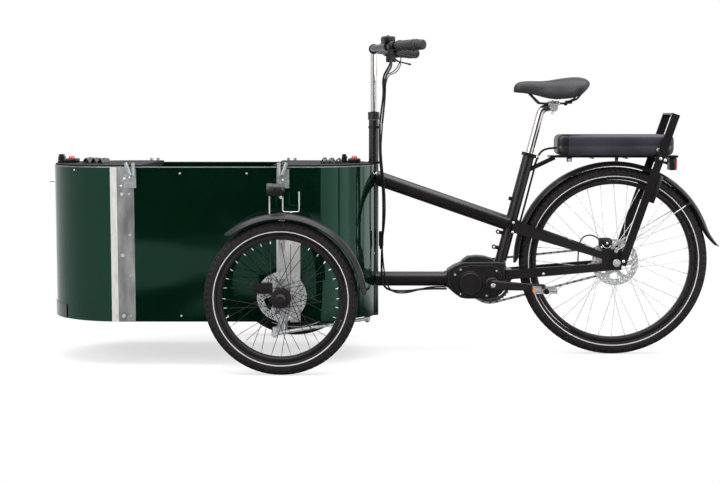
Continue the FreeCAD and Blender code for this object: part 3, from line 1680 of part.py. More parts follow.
def make_sprocket():
    inset = "Dim.chain_inner_depth - Dim.tooth_clearance"
    start = rear_axle + Y_AXIS * (size("chain_line") - size("ring_thickness") / 2)
    plate = cylinder(
        "SprocketPlate", ring_expression("sprocket_teeth", inset), "Dim.ring_thickness", start, Y_AXIS
    )
    sleeve_start = rear_axle + Y_AXIS * (size("rear_hub_drive_side") + gap)
    sleeve = cylinder(
        "FreewheelSleeve",
        "Dim.freewheel_radius",
        "Dim.dropout_inner - Dim.rear_hub_drive_side - 2 * Dim.fit_gap",
        sleeve_start,
        Y_AXIS,
    )
    bore = cylinder(
        "FreewheelBore",
        "Dim.rear_axle_radius + Dim.fit_gap",
        "Dim.rear_axle_half_length",
        rear_axle,
        Y_AXIS,
    )
    node("rear_sprocket", cut("RearSprocket", fuse("SprocketWhole", plate, sleeve), bore))


def make_pedals():
    for side_name, side in SIDES.items():
        axle = crank_centre + crank_direction(side) * size("crank_length")
        half_length = size("pedal_length") / 2
        half_height = size("pedal_height") / 2
        low_y = size("pedal_inner") if side > 0 else -size("pedal_inner") - size("pedal_width")
        corner = axle + Vector(-half_length, low_y, -half_height)
        cage = size("pedal_cage")
        outside = box(
            "PedalCage_" + side_name, ("Dim.pedal_length", "Dim.pedal_width", "Dim.pedal_height"), corner
        )
        window = box(
            "PedalWindow_" + side_name,
            (
                "Dim.pedal_length - 2 * Dim.pedal_cage",
                "Dim.pedal_width - 2 * Dim.pedal_cage",
                "2 * Dim.pedal_height",
            ),
            corner + Vector(cage, cage, -half_height),
        )
        start = Vector(axle.x, low_y, axle.z)
        core = cylinder("PedalCore_" + side_name, "Dim.pedal_core_radius", "Dim.pedal_width", start, Y_AXIS)
        bore = cylinder(
            "PedalBore_" + side_name,
            "Dim.pedal_spindle_radius + Dim.fit_gap",
            "Dim.pedal_width",
            start,
            Y_AXIS,
        )
        whole = fuse("PedalWhole_" + side_name, cut("PedalFrame_" + side_name, outside, window), core)
        node(side_name + "_pedal", cut("Pedal_" + side_name, whole, bore))


# Seat


def seat_local(offset):
    """A place given along and beside the seat tube's top."""
    return seat_top + seat_turn.multVec(offset)


def make_seat_collar():
    below = size("seat_collar_height") - size("seat_collar_gap")
    start = seat_local(Vector(0, 0, -below))
    ring = tube(
        "SeatCollarRing",
        "Dim.seat_collar_radius",
        "Dim.seat_tube_radius + Dim.fit_gap",
        "Dim.seat_collar_height - Dim.seat_collar_gap",
        start,
        seat_axis,
    )
    back = size("lever_pivot_back")
    side = size("lever_pivot_side")
    ear = box(
        "SeatCollarEar",
        (
            "Dim.lever_pivot_back / 2 + 2 * Dim.seat_lever_pin",
            "Dim.lever_pivot_side / 2 + 2 * Dim.seat_lever_pin",
            "Dim.seat_lever_pin",
        ),
        seat_local(Vector(back / 2, -side - 2 * size("seat_lever_pin"), -below)),
        seat_turn,
    )
    pin = cylinder(
        "SeatLeverPin",
        "Dim.seat_lever_pin",
        "Dim.seat_collar_height - Dim.seat_collar_gap",
        seat_local(Vector(back, -side, -below)),
        seat_axis,
    )
    seat = seat_cutter("CollarSeat", "Dim.fit_gap")
    node("seat_collar", cut("SeatCollar", fuse("SeatCollarWhole", ring, ear, pin), seat))
    lever_bottom = -below + size("seat_lever_pin") + gap
    half = size("seat_lever_width") / 2
    blade = box(
        "SeatLeverBlade",
        ("Dim.seat_lever_length", "Dim.seat_lever_width", "Dim.seat_lever_height - Dim.fit_gap"),
        seat_local(Vector(back - size("seat_lever_length"), -side - half, lever_bottom)),
        seat_turn,
    )
    eye = cylinder(
        "SeatLeverEye",
        "2 * Dim.seat_lever_pin",
        "Dim.seat_lever_height - Dim.fit_gap",
        seat_local(Vector(back, -side, lever_bottom)),
        seat_axis,
    )
    hole = cylinder(
        "SeatLeverHole",
        "Dim.seat_lever_pin + Dim.fit_gap",
        "2 * Dim.seat_lever_height",
        seat_local(Vector(back, -side, -below)),
        seat_axis,
    )
    node("seat_clamp_lever", cut("SeatClampLever", fuse("SeatLeverWhole", blade, eye), hole))


def make_seat_post():
    start = seat_top - seat_axis * size("seat_post_inside")
    post = cylinder(
        "PostBody", "Dim.seat_post_radius", "Dim.seat_post_inside + Dim.post_straight", start, seat_axis
    )
    knee = seat_top + seat_axis * size("post_straight")
    elbow = seat_top + seat_axis * size("post_elbow")
    end = elbow + Vector(size("post_reach"), 0, size("post_rise"))
    neck = feature("PostNeck", round_bar([knee, elbow, end], size("seat_post_radius"), size("post_bend")))
    rail_z = saddle_bottom - size("rail_drop")
    clamp_x = post_top.x + size("seat_clamp_x")
    cradle = cylinder(
        "SeatCradle",
        "Dim.cradle_radius",
        "2 * Dim.cradle_half_width",
        Vector(clamp_x, -size("cradle_half_width"), rail_z - size("cradle_drop")),
        Y_AXIS,
    )
    clamp = box(
        "SeatClamp",
        ("Dim.seat_clamp_length", "2 * Dim.seat_clamp_half_width", "Dim.seat_clamp_height"),
        Vector(
            clamp_x - size("seat_clamp_length") / 2,
            -size("seat_clamp_half_width"),
            rail_z - size("seat_clamp_height") / 2,
        ),
    )
    rails = []
    for side_name, side in SIDES.items():
        y = side * size("rail_half_gap")
        end_z = saddle_bottom - gap - size("rail_radius")
        front_x = post_top.x + size("rail_front_x")
        rear_x = post_top.x + size("rail_rear_x")
        points = [
            Vector(front_x - size("rail_slope_run"), y, end_z),
            Vector(front_x, y, rail_z),
            Vector(rear_x, y, rail_z),
            Vector(rear_x + size("rail_slope_run"), y, end_z),
        ]
        rails.append(feature("Rail_" + side_name, round_bar(points, size("rail_radius"), size("rail_bend"))))
    node("seat_post", fuse("SeatPost", post, neck, cradle, clamp, *rails))


def saddle_section(share, width_share, low_share, high_share):
    """Closed outline of the saddle at a share of its length, crowned and drawn in below."""
    x = post_top.x + size("saddle_nose_x") + share * size("saddle_length")
    half = size("saddle_half_width") * width_share
    low = saddle_bottom + size("saddle_height") * low_share
    high = saddle_bottom + size("saddle_height") * high_share
    rise = high - low
    foot = 0.72 * half
    shoulder = 0.86 * half
    shoulder_z = low + 0.72 * rise
    belly_z = low + 0.42 * rise
    left_foot = Vector(x, -foot, low)
    right_foot = Vector(x, foot, low)
    right_shoulder = Vector(x, shoulder, shoulder_z)
    left_shoulder = Vector(x, -shoulder, shoulder_z)
    edges = [
        Part.LineSegment(left_foot, right_foot).toShape(),
        Part.Arc(right_foot, Vector(x, half, belly_z), right_shoulder).toShape(),
        Part.Arc(right_shoulder, Vector(x, 0, high), left_shoulder).toShape(),
        Part.Arc(left_shoulder, Vector(x, -half, belly_z), left_foot).toShape(),
    ]
    return Part.Wire(edges)


def make_saddle():
    shares = [
        (0.00, 0.13, 0.20, 0.48),
        (0.10, 0.24, 0.10, 0.76),
        (0.30, 0.31, 0.00, 0.79),
        (0.46, 0.44, 0.00, 0.78),
        (0.65, 0.80, 0.00, 0.90),
        (0.81, 1.00, 0.00, 1.00),
        (0.95, 0.84, 0.26, 0.86),
        (1.00, 0.66, 0.42, 0.72),
    ]
    sections = [saddle_section(*row) for row in shares]
    body = feature("SaddleBody", Part.makeLoft(sections, True, False))
    half = 2 * size("saddle_half_width")
    under = box(
        "SaddleUnder",
        ("2 * Dim.saddle_length", "4 * Dim.saddle_half_width", "Dim.saddle_height"),
        Vector(post_top.x + 2 * size("saddle_nose_x"), -half, saddle_bottom - size("saddle_height")),
    )
    node("saddle", cut("Saddle", body, under))


# Battery, carrier, mudguard and tail light


def make_battery():
    case = box(
        "BatteryBlock",
        ("Dim.battery_length", "2 * Dim.battery_half_width", "Dim.battery_height"),
        Vector(before_wheel("battery_front_x"), -size("battery_half_width"), above_wheel("battery_bottom")),
    )
    doc.recompute()
    rounded = doc.addObject("Part::Fillet", "BatteryCase")
    rounded.Base = case
    radius = size("battery_corner")
    rounded.Edges = [(index, radius, radius) for index in range(1, 13)]
    node("battery_case", rounded)


def make_rack_rail():
    top = above_wheel("battery_bottom") - gap
    thickness = size("rail_thickness")
    half = size("rail_half_width")
    bottom = top - thickness
    plate = box(
        "RackPlate",
        ("Dim.rack_rail_end + Dim.rear_wheel_radius - Dim.rack_rail_start", "2 * Dim.rail_half_width", "Dim.rail_thickness"),
        Vector(before_wheel("rack_rail_start"), -half, bottom),
    )
    reach = size("hoop_inner") - gap
    cross = box(
        "RackCross",
        ("Dim.rack_cross_length", "2 * (Dim.hoop_inner - Dim.fit_gap)", "Dim.rail_thickness"),
        Vector(beside_axle("rack_cross_x"), -reach, bottom),
    )
    foot = seat_foot + seat_axis * size("strut_foot_distance")
    head = Vector(before_wheel("rack_rail_start") + size("strut_width"), 0, bottom)
    run = head - foot
    along = Vector(run).normalize()
    up = along.cross(Y_AXIS)
    corner = foot - Y_AXIS * (size("strut_width") / 2) - up * (size("strut_height") / 2)
    strut = box(
        "RackStrut",
        ("%r" % run.Length, "Dim.strut_width", "Dim.strut_height"),
        corner,
        Rotation(along, Y_AXIS, up, "ZXY"),
    )
    lug_x = beside_axle("rack_lug_x")
    guard_top = rear_axle.z + math.sqrt(rear_guard_radius ** 2 - (lug_x - rear_axle.x) ** 2)
    lug_start = Vector(lug_x, 0, guard_top + gap)
    lug = cylinder("RackLug", "Dim.rack_lug_radius", "%r" % (top - lug_start.z), lug_start)
    whole = fuse("RackWhole", plate, cross, strut, lug)
    node("rack_rail", cut("RackRail", whole, seat_cutter("RackSeat", "Dim.fit_gap")))


def make_carrier_hoop():
    foot = Vector(beside_axle("hoop_foot_x"), 0, at_axle_height("hoop_foot_z"))
    head = Vector(beside_axle("hoop_top_x"), 0, above_wheel("hoop_top_z"))
    run = head - foot
    along = Vector(run).normalize()
    up = along.cross(Y_AXIS)
    width = size("hoop_width")
    inner = size("hoop_inner")
    outer = inner + size("hoop_thickness")
    turn = Rotation(along, Y_AXIS, up, "ZXY")
    length = "%r + Dim.hoop_width" % run.Length
    pieces = []
    for side_name, side in SIDES.items():
        low_y = inner if side > 0 else -outer
        corner = foot + Y_AXIS * low_y - up * (width / 2) - along * (width / 2)
        pieces.append(box("HoopLeg_" + side_name, (length, "Dim.hoop_thickness", "Dim.hoop_width"), corner, turn))
        boss_start = foot + Y_AXIS * side * (size("dropout_inner") + size("dropout_thickness"))
        pieces.append(
            cylinder(
                "HoopBoss_" + side_name,
                "Dim.hoop_boss_radius",
                "Dim.hoop_inner - Dim.dropout_inner - Dim.dropout_thickness",
                boss_start,
                Y_AXIS * side,
            )
        )
    corner = head + along * (width / 2 - size("hoop_thickness")) - Y_AXIS * outer - up * (width / 2)
    bridge = box(
        "HoopBridge",
        ("Dim.hoop_thickness", "2 * (Dim.hoop_inner + Dim.hoop_thickness)", "Dim.hoop_width"),
        corner,
        turn,
    )
    node("carrier_hoop", fuse("CarrierHoop", bridge, *pieces))


def make_tail_light():
    top = above_wheel("battery_bottom") - gap - size("rail_thickness")
    front_x = beside_axle("rack_rail_end") - size("tail_light_depth") - size("tail_lens_depth")
    half = size("tail_light_half_width")
    low = top - size("tail_light_height")
    case = box(
        "TailCase",
        ("Dim.tail_light_depth", "2 * Dim.tail_light_half_width", "Dim.tail_light_height"),
        Vector(front_x, -half, low),
    )
    lens = box(
        "TailLens",
        ("Dim.tail_lens_depth", "2 * Dim.tail_light_half_width", "Dim.tail_light_height"),
        Vector(front_x + size("tail_light_depth"), -half, low),
    )
    node("tail_light", group("TailLight", case, lens))


def make_rear_mudguard():
    half = size("mudguard_width") / 2
    arc = curved_band(
        "RearGuardArc",
        "Dim.rear_wheel_radius + Dim.rear_guard_clearance + Dim.mudguard_thickness",
        "Dim.mudguard_thickness",
        "Dim.mudguard_width",
        "Dim.rear_guard_sweep_angle",
        rear_axle + Y_AXIS * half,
        size("rear_guard_start_angle"),
    )
    end = math.radians(size("rear_guard_start_angle"))
    radial = Vector(math.cos(end), 0, math.sin(end))
    inner = rear_axle + radial * (rear_guard_radius - size("mudguard_thickness"))
    fall = Rotation(Y_AXIS, -size("flap_flare_angle")).multVec(Vector(radial.z, 0, -radial.x))
    thick = fall.cross(Y_AXIS)
    flap = box(
        "RearFlap",
        ("Dim.flap_length", "Dim.mudguard_width", "Dim.mudguard_thickness"),
        inner - Y_AXIS * half - fall * size("mudguard_thickness"),
        Rotation(fall, Y_AXIS, thick, "ZXY"),
    )
    wires = []
    wire_angle = math.radians(size("guard_wire_angle"))
    wire_radius = size("guard_wire_radius")
    reach = rear_guard_radius - size("mudguard_thickness") - wire_radius
    for side_name, side in SIDES.items():
        face_y = size("dropout_inner") + size("dropout_thickness") + gap
        foot_y = side * (face_y + wire_radius + size("guard_eye_lift"))
        foot = rear_axle + Vector(0, foot_y, size("dropout_top") - size("guard_eye_radius"))
        head_y = side * (half - wire_radius)
        head = rear_axle + Vector(math.cos(wire_angle) * reach, head_y, math.sin(wire_angle) * reach)
        wire = feature("GuardWireRun_" + side_name, round_bar([foot, head], wire_radius, 1))
        eye = cylinder(
            "GuardWireEye_" + side_name,
            "Dim.guard_eye_radius",
            "2 * Dim.guard_wire_radius + Dim.guard_eye_lift",
            Vector(foot.x, side * face_y, foot.z),
            Y_AXIS * side,
        )
        wires.append(fuse("GuardWire_" + side_name, wire, eye))
    node("rear_mudguard", group("RearMudguard", fuse("RearGuard", arc, flap), *wires))


# Cables


def make_frame_cables():
    radius = size("cable_radius")
    x = column_x + size("cable_back")
    y = -size("cable_side")
    low = at_axle_height("cable_low_z")
    column_run = [
        Vector(x, y, cable_tie_z),
        Vector(x, y, low),
        Vector(before_wheel("motor_front_x") - gap, y, low),
    ]
    pieces = [feature("ColumnCable", round_bar(column_run, radius, size("cable_bend")))]
    half_clip = size("clip_height") / 2
    reach = math.hypot(x - column_x, y)
    along = Vector(x - column_x, y, 0).normalize()
    across = Z_AXIS.cross(along)
    for index, height in enumerate((cable_tie_z - 3 * radius, box_rim + 2 * radius)):
        corner = Vector(column_x, 0, height - half_clip) - across * radius
        clip = box(
            "ClipBlock_%d" % index,
            ("%r - Dim.cable_radius - Dim.fit_gap" % reach, "2 * Dim.cable_radius", "Dim.clip_height"),
            corner,
            Rotation(along, across, Z_AXIS, "ZXY"),
        )
        pieces.append(cut("Clip_%d" % index, clip, column_cutter("ClipColumn_%d" % index, "Dim.fit_gap")))
    battery_y = -size("battery_cable_side")
    battery_z = above_wheel("battery_bottom") + size("battery_height") / 2
    battery_x = before_wheel("battery_front_x") - gap
    drop_x = battery_x - size("battery_cable_out")
    end_z = seat_top.z - size("battery_cable_end_drop")
    low_x = drop_x - size("battery_cable_back") + radius
    tube_x = seat_foot.x + (end_z - seat_foot.z) * math.tan(seat_tilt)
    battery_run = [
        Vector(battery_x, battery_y, battery_z),
        Vector(drop_x, battery_y, battery_z),
        Vector(low_x, battery_y, end_z),
        Vector(tube_x + size("seat_tube_radius") / math.cos(seat_tilt) + 3 * gap, battery_y, end_z),
    ]
    pieces.append(feature("BatteryCable", round_bar(battery_run, radius, size("battery_cable_bend"))))
    node("frame_cables", group("FrameCables", *pieces))


def make_handlebar_cables():
    radius = size("cable_radius")
    x = column_x + size("cable_back")
    y = -size("cable_side")
    join_z = column_top + size("cable_join_rise")
    pieces = []
    for side_name, side in SIDES.items():
        pivot = lever_frame(side)[0]
        start = pivot + Vector(0, -side * size("perch_width"), 0)
        drop_x = x + (2 * radius + gap if side > 0 else 0)
        run = [
            start,
            Vector(drop_x + size("perch_width"), side * size("bar_centre_half") + y, (start.z + join_z) / 2),
            Vector(drop_x, y, join_z),
            Vector(drop_x, y, cable_tie_z + gap),
        ]
        pieces.append(feature("BarCable_" + side_name, round_bar(run, radius, size("cable_bend"))))
    node("handlebar_cables", group("HandlebarCables", *pieces))


make_column()
make_top_tube()
make_lower_tube()
make_seat_tube()
make_rear_stays()
make_base_frame()
make_panels()
make_seam_strips()
make_floor()
make_end_boards()
make_canopy_brackets()
make_fasteners()
make_harness()
make_steering_shaft()
make_stem()
make_handlebar()
make_controls()
make_brake_levers()
for corner_name, corner_side in SIDES.items():
    make_tie_rod(corner_name, corner_side)
    make_knuckle(corner_name, corner_side)
    make_front_mudguard(corner_name, corner_side)
    make_front_wheel(corner_name, corner_side)
make_rear_wheel()
make_rear_calliper()
make_chain()
make_motor()
make_crank()
make_sprocket()
make_pedals()
make_seat_collar()
make_seat_post()
make_saddle()
make_battery()
make_rack_rail()
make_carrier_hoop()
make_tail_light()
make_rear_mudguard()
make_frame_cables()
make_handlebar_cables()

doc.recompute()
for item in doc.Objects:
    if "Invalid" in item.State or "Error" in item.State:
        raise ValueError("%s failed: %s" % (item.Label, item.State))
for piece in nodes:
    if piece.Shape.isNull() or not piece.Shape.isValid():
        raise ValueError("%s has no valid shape" % piece.Label)

os.makedirs("parts", exist_ok=True)
for piece in nodes:
    piece.Shape.exportStep("parts/%s.step" % piece.Label)
print("%d nodes" % len(nodes))
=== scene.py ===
import math
import bmesh
import bpy
from mathutils import Matrix, Vector


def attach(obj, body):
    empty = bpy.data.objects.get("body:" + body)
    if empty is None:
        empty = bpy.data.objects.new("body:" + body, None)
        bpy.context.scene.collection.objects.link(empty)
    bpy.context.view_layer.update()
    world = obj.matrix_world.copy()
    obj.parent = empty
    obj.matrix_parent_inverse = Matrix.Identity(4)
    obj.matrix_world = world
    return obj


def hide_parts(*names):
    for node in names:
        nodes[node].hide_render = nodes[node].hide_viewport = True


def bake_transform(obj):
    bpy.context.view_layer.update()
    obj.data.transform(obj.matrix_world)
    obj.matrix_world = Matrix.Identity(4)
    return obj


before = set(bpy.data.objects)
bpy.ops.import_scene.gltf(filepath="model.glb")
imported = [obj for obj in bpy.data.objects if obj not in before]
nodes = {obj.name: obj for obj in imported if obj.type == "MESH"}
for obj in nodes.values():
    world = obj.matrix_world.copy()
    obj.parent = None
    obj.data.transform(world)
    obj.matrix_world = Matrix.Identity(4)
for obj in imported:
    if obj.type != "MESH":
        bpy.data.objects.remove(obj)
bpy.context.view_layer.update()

SIDES = {"left": -1, "right": 1}
BOTH = (-1, 1)
UP = Vector((0, 0, 1))
ACROSS = Vector((0, 1, 0))

# Places shared with the construction, in metres
FRONT_AXLE_X = -0.334
FRONT_TRACK = 0.820
FRONT_RADIUS = 0.247
FRONT_BEAD = 0.203
REAR_RADIUS = 0.326
REAR_BEAD = 0.281
REAR_AXLE = Vector((0.792, 0, REAR_RADIUS))
TYRE_HALF = 0.0235
DISC_RADIUS = 0.080
COLUMN_X = -0.038
BAR_Z = 1.054
CRANK = Vector((0.371, 0, 0.249))
CRANK_LENGTH = 0.170
CRANK_ANGLE = math.radians(-3)
CHAIN_LINE = 0.0435
CHAIN_PITCH = 0.0127
CHAINRING_TEETH = 38
SPROCKET_TEETH = 22
BOX_HALF = 0.255
BOX_FRONT_X = -0.881
BOX_REAR_X = -0.289
BOARD_TOP = 0.666
BUCKLES = {"front": -1.083, "rear": -0.105}
SEAT_TILT = math.radians(14.5)
SEAT_AXIS = Vector((math.sin(SEAT_TILT), 0, math.cos(SEAT_TILT)))
SEAT_FOOT = Vector((0.403, 0, 0.325))
SEAT_TOP = SEAT_FOOT + SEAT_AXIS * 0.386

# Small geometry


def turns(count):
    """Angles of equal steps round a full circle."""
    return [2 * math.pi * index / count for index in range(count)]


def polar(radius, turn, x=0.0, y=0.0):
    return x + radius * math.cos(turn), y + radius * math.sin(turn)


def upright(radius, turn, y=0.0):
    """A vector at an angle in the upright plane along the tricycle."""
    return Vector((radius * math.cos(turn), y, radius * math.sin(turn)))


def circle(radius, count, x=0.0, y=0.0):
    return [polar(radius, turn, x, y) for turn in turns(count)]


def both_ways(profile):
    """A profile followed by its mirror image along the axis."""
    return profile + [(radius, -place) for radius, place in reversed(profile)]


def sided(profile, side):
    """A profile drawn for the right side, carried to either side."""
    return [(radius, side * place) for radius, place in profile]


def axes(first, second, third):
    """The turn that carries X, Y and Z to three directions."""
    return Matrix((first, second, third)).transposed()


def upright_plane(centre):
    """Carries a flat outline to a plane seen along Y: its X stays, its Y becomes Z."""
    return Matrix.Translation(centre) @ Matrix.Rotation(math.pi / 2, 4, "X")


def rounded(points, bend, steps=6):
    """Points along straight runs with their corners turned on arcs."""
    points = [Vector(p) for p in points]
    path = [points[0]]
    for before, corner, after in zip(points, points[1:], points[2:]):
        into = (corner - before).normalized()
        out = (after - corner).normalized()
        turn = into.angle(out)
        if turn < 0.001:
            path.append(corner)
            continue
        reach = bend * math.tan(turn / 2)
        middle = corner + (out - into).normalized() * bend / math.cos(turn / 2)
        first = (corner - into * reach - middle).normalized()
        last = (corner + out * reach - middle).normalized()
        for step in range(steps + 1):
            path.append(middle + first.slerp(last, step / steps) * bend)
    path.append(points[-1])
    return path


def rounded_rectangle(half_width, height, corner, steps=5):
    outline = []
    for x, z, start in ((1, 1, 0), (-1, 1, 1), (-1, 0, 2), (1, 0, 3)):
        cx = x * (half_width - corner)
        cz = height - corner if z else corner
        for step in range(steps + 1):
            outline.append(polar(corner, math.pi / 2 * (start + step / steps), cx, cz))
    return outline


def front_centre(side):
    return Vector((FRONT_AXLE_X, side * FRONT_TRACK / 2, FRONT_RADIUS))


def pitch_radius(teeth):
    return CHAIN_PITCH / (2 * math.sin(math.pi / teeth))


# Materials


class Tree:
    """A node tree with short ways to add and join its nodes."""

    def __init__(self, tree):
        self.tree = tree

    def add(self, kind, **settings):
        """A node. A setting is one of its properties, or else the value of an input."""
        made = self.tree.nodes.new("ShaderNode" + kind)
        for key, value in settings.items():
            if hasattr(made, key):
                setattr(made, key, value)
            else:
                made.inputs[key.replace("_", " ")].default_value = value
        return made

    def join(self, value, target):
        """Feeds an input from an output or with a plain number."""
        if isinstance(value, (int, float)):
            target.default_value = value
        else:
            self.tree.links.new(value, target)

    def math(self, operation, first, second):
        made = self.add("Math", operation=operation)
        self.join(first, made.inputs[0])
        self.join(second, made.inputs[1])
        return made.outputs["Value"]

    def split(self, vector):
        made = self.add("SeparateXYZ")
        self.join(vector, made.inputs["Vector"])
        return made.outputs

    def spread(self, value, low, high, start=0.0, end=1.0, ease="LINEAR"):
        """Carries the range from start to end onto the one from low to high."""
        made = self.add("MapRange", interpolation_type=ease, To_Min=low, To_Max=high)
        made.inputs["From Min"].default_value = start
        made.inputs["From Max"].default_value = end
        self.join(value, made.inputs["Value"])
        return made.outputs["Result"]

    def mix(self, share, first, second):
        """One shader passing into another."""
        made = self.add("MixShader")
        for value, target in zip((share, first, second), made.inputs):
            self.join(value, target)
        return made.outputs["Shader"]


class Shader(Tree):
    """The node tree of one material."""

    def __init__(self, name):
        self.material = bpy.data.materials.new(name)
        self.material.use_nodes = True
        super().__init__(self.material.node_tree)
        self.bsdf = self.tree.nodes["Principled BSDF"]
        self.place = self.add("TexCoord").outputs["Object"]

    def stretched(self, scale):
        mapping = self.add("Mapping", Scale=scale)
        self.join(self.place, mapping.inputs["Vector"])
        return mapping.outputs["Vector"]

    def noise(self, scale, detail=4.0, stretch=None):
        made = self.add("TexNoise", Scale=scale, Detail=detail)
        self.join(self.stretched(stretch) if stretch else self.place, made.inputs["Vector"])
        return made.outputs["Fac"]

    def ramp(self, value, low, high):
        made = self.add("ValToRGB")
        for stop, place, colour in zip(made.color_ramp.elements, (0.3, 0.7), (low, high)):
            stop.position = place
            stop.color = (*colour, 1)
        self.join(value, made.inputs["Fac"])
        return made.outputs["Color"]

    def bump(self, value, depth, strength=1.0, under=None):
        made = self.add("Bump", Strength=strength, Distance=depth)
        self.join(value, made.inputs["Height"])
        if under:
            self.join(under, made.inputs["Normal"])
        self.join(made.outputs["Normal"], self.bsdf.inputs["Normal"])
        return made.outputs["Normal"]

    def feed(self, **values):
        """Sets or joins inputs of the surface by their names."""
        for key, value in values.items():
            target = self.bsdf.inputs[key.replace("_", " ")]
            if isinstance(value, tuple):
                target.default_value = value
            else:
                self.join(value, target)


COAT_ROUGHNESS = 0.04
WAVE_SCALE = 3.4
SPLIT_SOFTNESS = 0.0004


def finish(name, low, high, rough, metal=0.0, scale=60.0, grain=900.0, depth=0.00005,
           stretch=None, coat=0.0, spec=0.5, sheen=(1, 1, 1, 1), wave=0.0):
    """A surface whose colour, roughness and relief vary at the scale of the real one."""
    shader = Shader(name)
    broad = shader.noise(scale, 5.0, stretch)
    waves = shader.bump(shader.noise(WAVE_SCALE, 1.0), wave) if wave else None
    shader.bump(shader.noise(grain, 3.0, stretch), depth, under=waves)
    shader.feed(Base_Color=shader.ramp(broad, low, high), Roughness=shader.spread(broad, *rough),
                Metallic=metal, Coat_Weight=coat, Coat_Roughness=COAT_ROUGHNESS,
                Specular_IOR_Level=spec, Specular_Tint=sheen)
    return shader.material


def colour_socket(sockets, name):
    return next(s for s in sockets if s.name == name and s.type == "RGBA")


def two_tone(name, axis, level, below, above, grain=900.0, depth=0.00004, coat=0.0, spec=0.5, step=None):
    """Two finishes, each (low, high, rough, metal, scale, stretch), that meet at a level.

    step is (axis, limit, offset): beyond the limit, the coordinate is moved by the offset.
    """
    shader = Shader(name)
    value = shader.split(shader.place)[axis]
    if step:
        other, limit, offset = step
        beyond = shader.math("GREATER_THAN", shader.split(shader.place)[other], limit)
        value = shader.math("ADD", value, shader.math("MULTIPLY", beyond, offset))
    share = shader.spread(value, 0.0, 1.0, level - SPLIT_SOFTNESS, level + SPLIT_SOFTNESS)
    tint = shader.add("Mix", data_type="RGBA")
    rub = shader.add("Mix")
    for mix in (tint, rub):
        shader.join(share, mix.inputs["Factor"])
    for slot, (low, high, rough, _, scale, stretch) in (("A", below), ("B", above)):
        broad = shader.noise(scale, 5.0, stretch)
        shader.join(shader.ramp(broad, low, high), colour_socket(tint.inputs, slot))
        shader.join(shader.spread(broad, *rough), rub.inputs[slot])
    shader.bump(shader.noise(grain, 3.0), depth)
    shader.feed(Base_Color=colour_socket(tint.outputs, "Result"), Roughness=rub.outputs["Result"],
                Metallic=shader.spread(share, below[3], above[3]), Coat_Weight=coat,
                Coat_Roughness=COAT_ROUGHNESS, Specular_IOR_Level=spec)
    return shader.material


BLACK_LOOK = ((0.0056, 0.0038, 0.0042), (0.0098, 0.0070, 0.0076), (0.24, 0.36), 0.0, 9, None)
GREEN_LOOK = ((0.0006, 0.0061, 0.0028), (0.0008, 0.0079, 0.0037), (0.02, 0.04), 0.0, 3, None)
ZINC_LOOK = ((0.46, 0.47, 0.48), (0.66, 0.67, 0.68), (0.26, 0.42), 0.65, 120, None)
CHROME_LOOK = ((0.60, 0.555, 0.53), (0.70, 0.65, 0.625), (0.07, 0.13), 1.0, 40, None)
# The bright strip tone is a painted reflection of light on the strip's metal
PAINTED_LIT_STRIP = ((0.44, 0.43, 0.415), (0.53, 0.52, 0.50), (0.36, 0.48), 0.25, 30, (6, 6, 0.8))
DARK_STRIP = ((0.20, 0.20, 0.20), (0.56, 0.55, 0.54), (0.16, 0.30), 0.8, 9, (3, 3, 0.8))

# The front strips are split along X into a bright part on the nose, which is a painted reflection, and dark
# reflective metal on the side. The step keeps the rear ones wholly in the painted bright tone.
STRIP_STEP = ("X", -0.6, -0.61)
# Fittings low on the nose are green, and all others are zinc
FITTING_STEP = ("X", -0.93, 1.0)

FRAME_BLACK = finish("frame_black", *BLACK_LOOK[:5], depth=0.00003, coat=0.12, spec=0.35)
GREEN = finish("box_green", *GREEN_LOOK[:5], 260, 0.000005, sheen=(0.44, 1.0, 0.76, 1), wave=0.0032)
# Seam strip metal whose bright part is a painted reflection and whose dark part is reflective metal
STRIP = two_tone("strip_metal", "X", -0.8815, PAINTED_LIT_STRIP, DARK_STRIP, 420, step=STRIP_STEP)
ZINC = finish("zinc", *ZINC_LOOK[:5], 500)
BRACKET = finish("bracket_zinc", (0.28, 0.295, 0.30), (0.42, 0.44, 0.445), (0.26, 0.42), 0.65, 120, 500)
# A pale tone for the panels' top edge: a painted highlight, not the sheet's own colour
PAINTED_EDGE_HIGHLIGHT = finish("painted_rim_highlight", (0.125, 0.150, 0.145), (0.175, 0.200, 0.195), (0.24, 0.36), 0.5, 40, 600, 0.00002)
KNUCKLE = two_tone("knuckle_metal", "X", -0.3625, BLACK_LOOK, ZINC_LOOK)
COLUMN = two_tone("column_paint", "Z", 0.578, GREEN_LOOK, BLACK_LOOK, coat=0.3, spec=0.4)
STEM = two_tone("stem_metal", "Z", 0.842, BLACK_LOOK, CHROME_LOOK, 300, 0.00001)
FITTINGS = two_tone("box_fittings", "Z", 0.21, GREEN_LOOK, ZINC_LOOK, coat=0.3, step=FITTING_STEP)
CHROME = finish("chrome", *CHROME_LOOK[:5], 300, 0.00001)
STEEL = finish("bright_steel", (0.60, 0.60, 0.60), (0.78, 0.78, 0.78), (0.22, 0.34), 0.7, 90, 700, 0.00003)
DARK_STEEL = finish("dark_steel", (0.10, 0.10, 0.10), (0.20, 0.19, 0.18), (0.28, 0.45), 0.9, 150)
ALLOY = finish("alloy", (0.44, 0.44, 0.45), (0.62, 0.62, 0.62), (0.28, 0.42), 0.7, 80, depth=0.00004)
BLACK_ALLOY = finish("black_alloy", (0.0068, 0.0048, 0.0052), (0.0125, 0.0098, 0.0104), (0.34, 0.48),
                     depth=0.00004, spec=0.3)
PLASTIC = finish("moulded_plastic", (0.0058, 0.0046, 0.0052), (0.0110, 0.0092, 0.0102), (0.34, 0.46),
                 scale=40, grain=2400, depth=0.00008, spec=0.24)
CASE = finish("case_plastic", (0.0060, 0.0058, 0.0060), (0.0120, 0.0116, 0.0120), (0.30, 0.42),
              scale=14, grain=3000, depth=0.00006, spec=0.4)
GUARD = finish("guard_plastic", (0.0090, 0.0074, 0.0092), (0.0165, 0.0142, 0.0172), (0.24, 0.34),
               scale=12, grain=1500, depth=0.00003, spec=0.22)
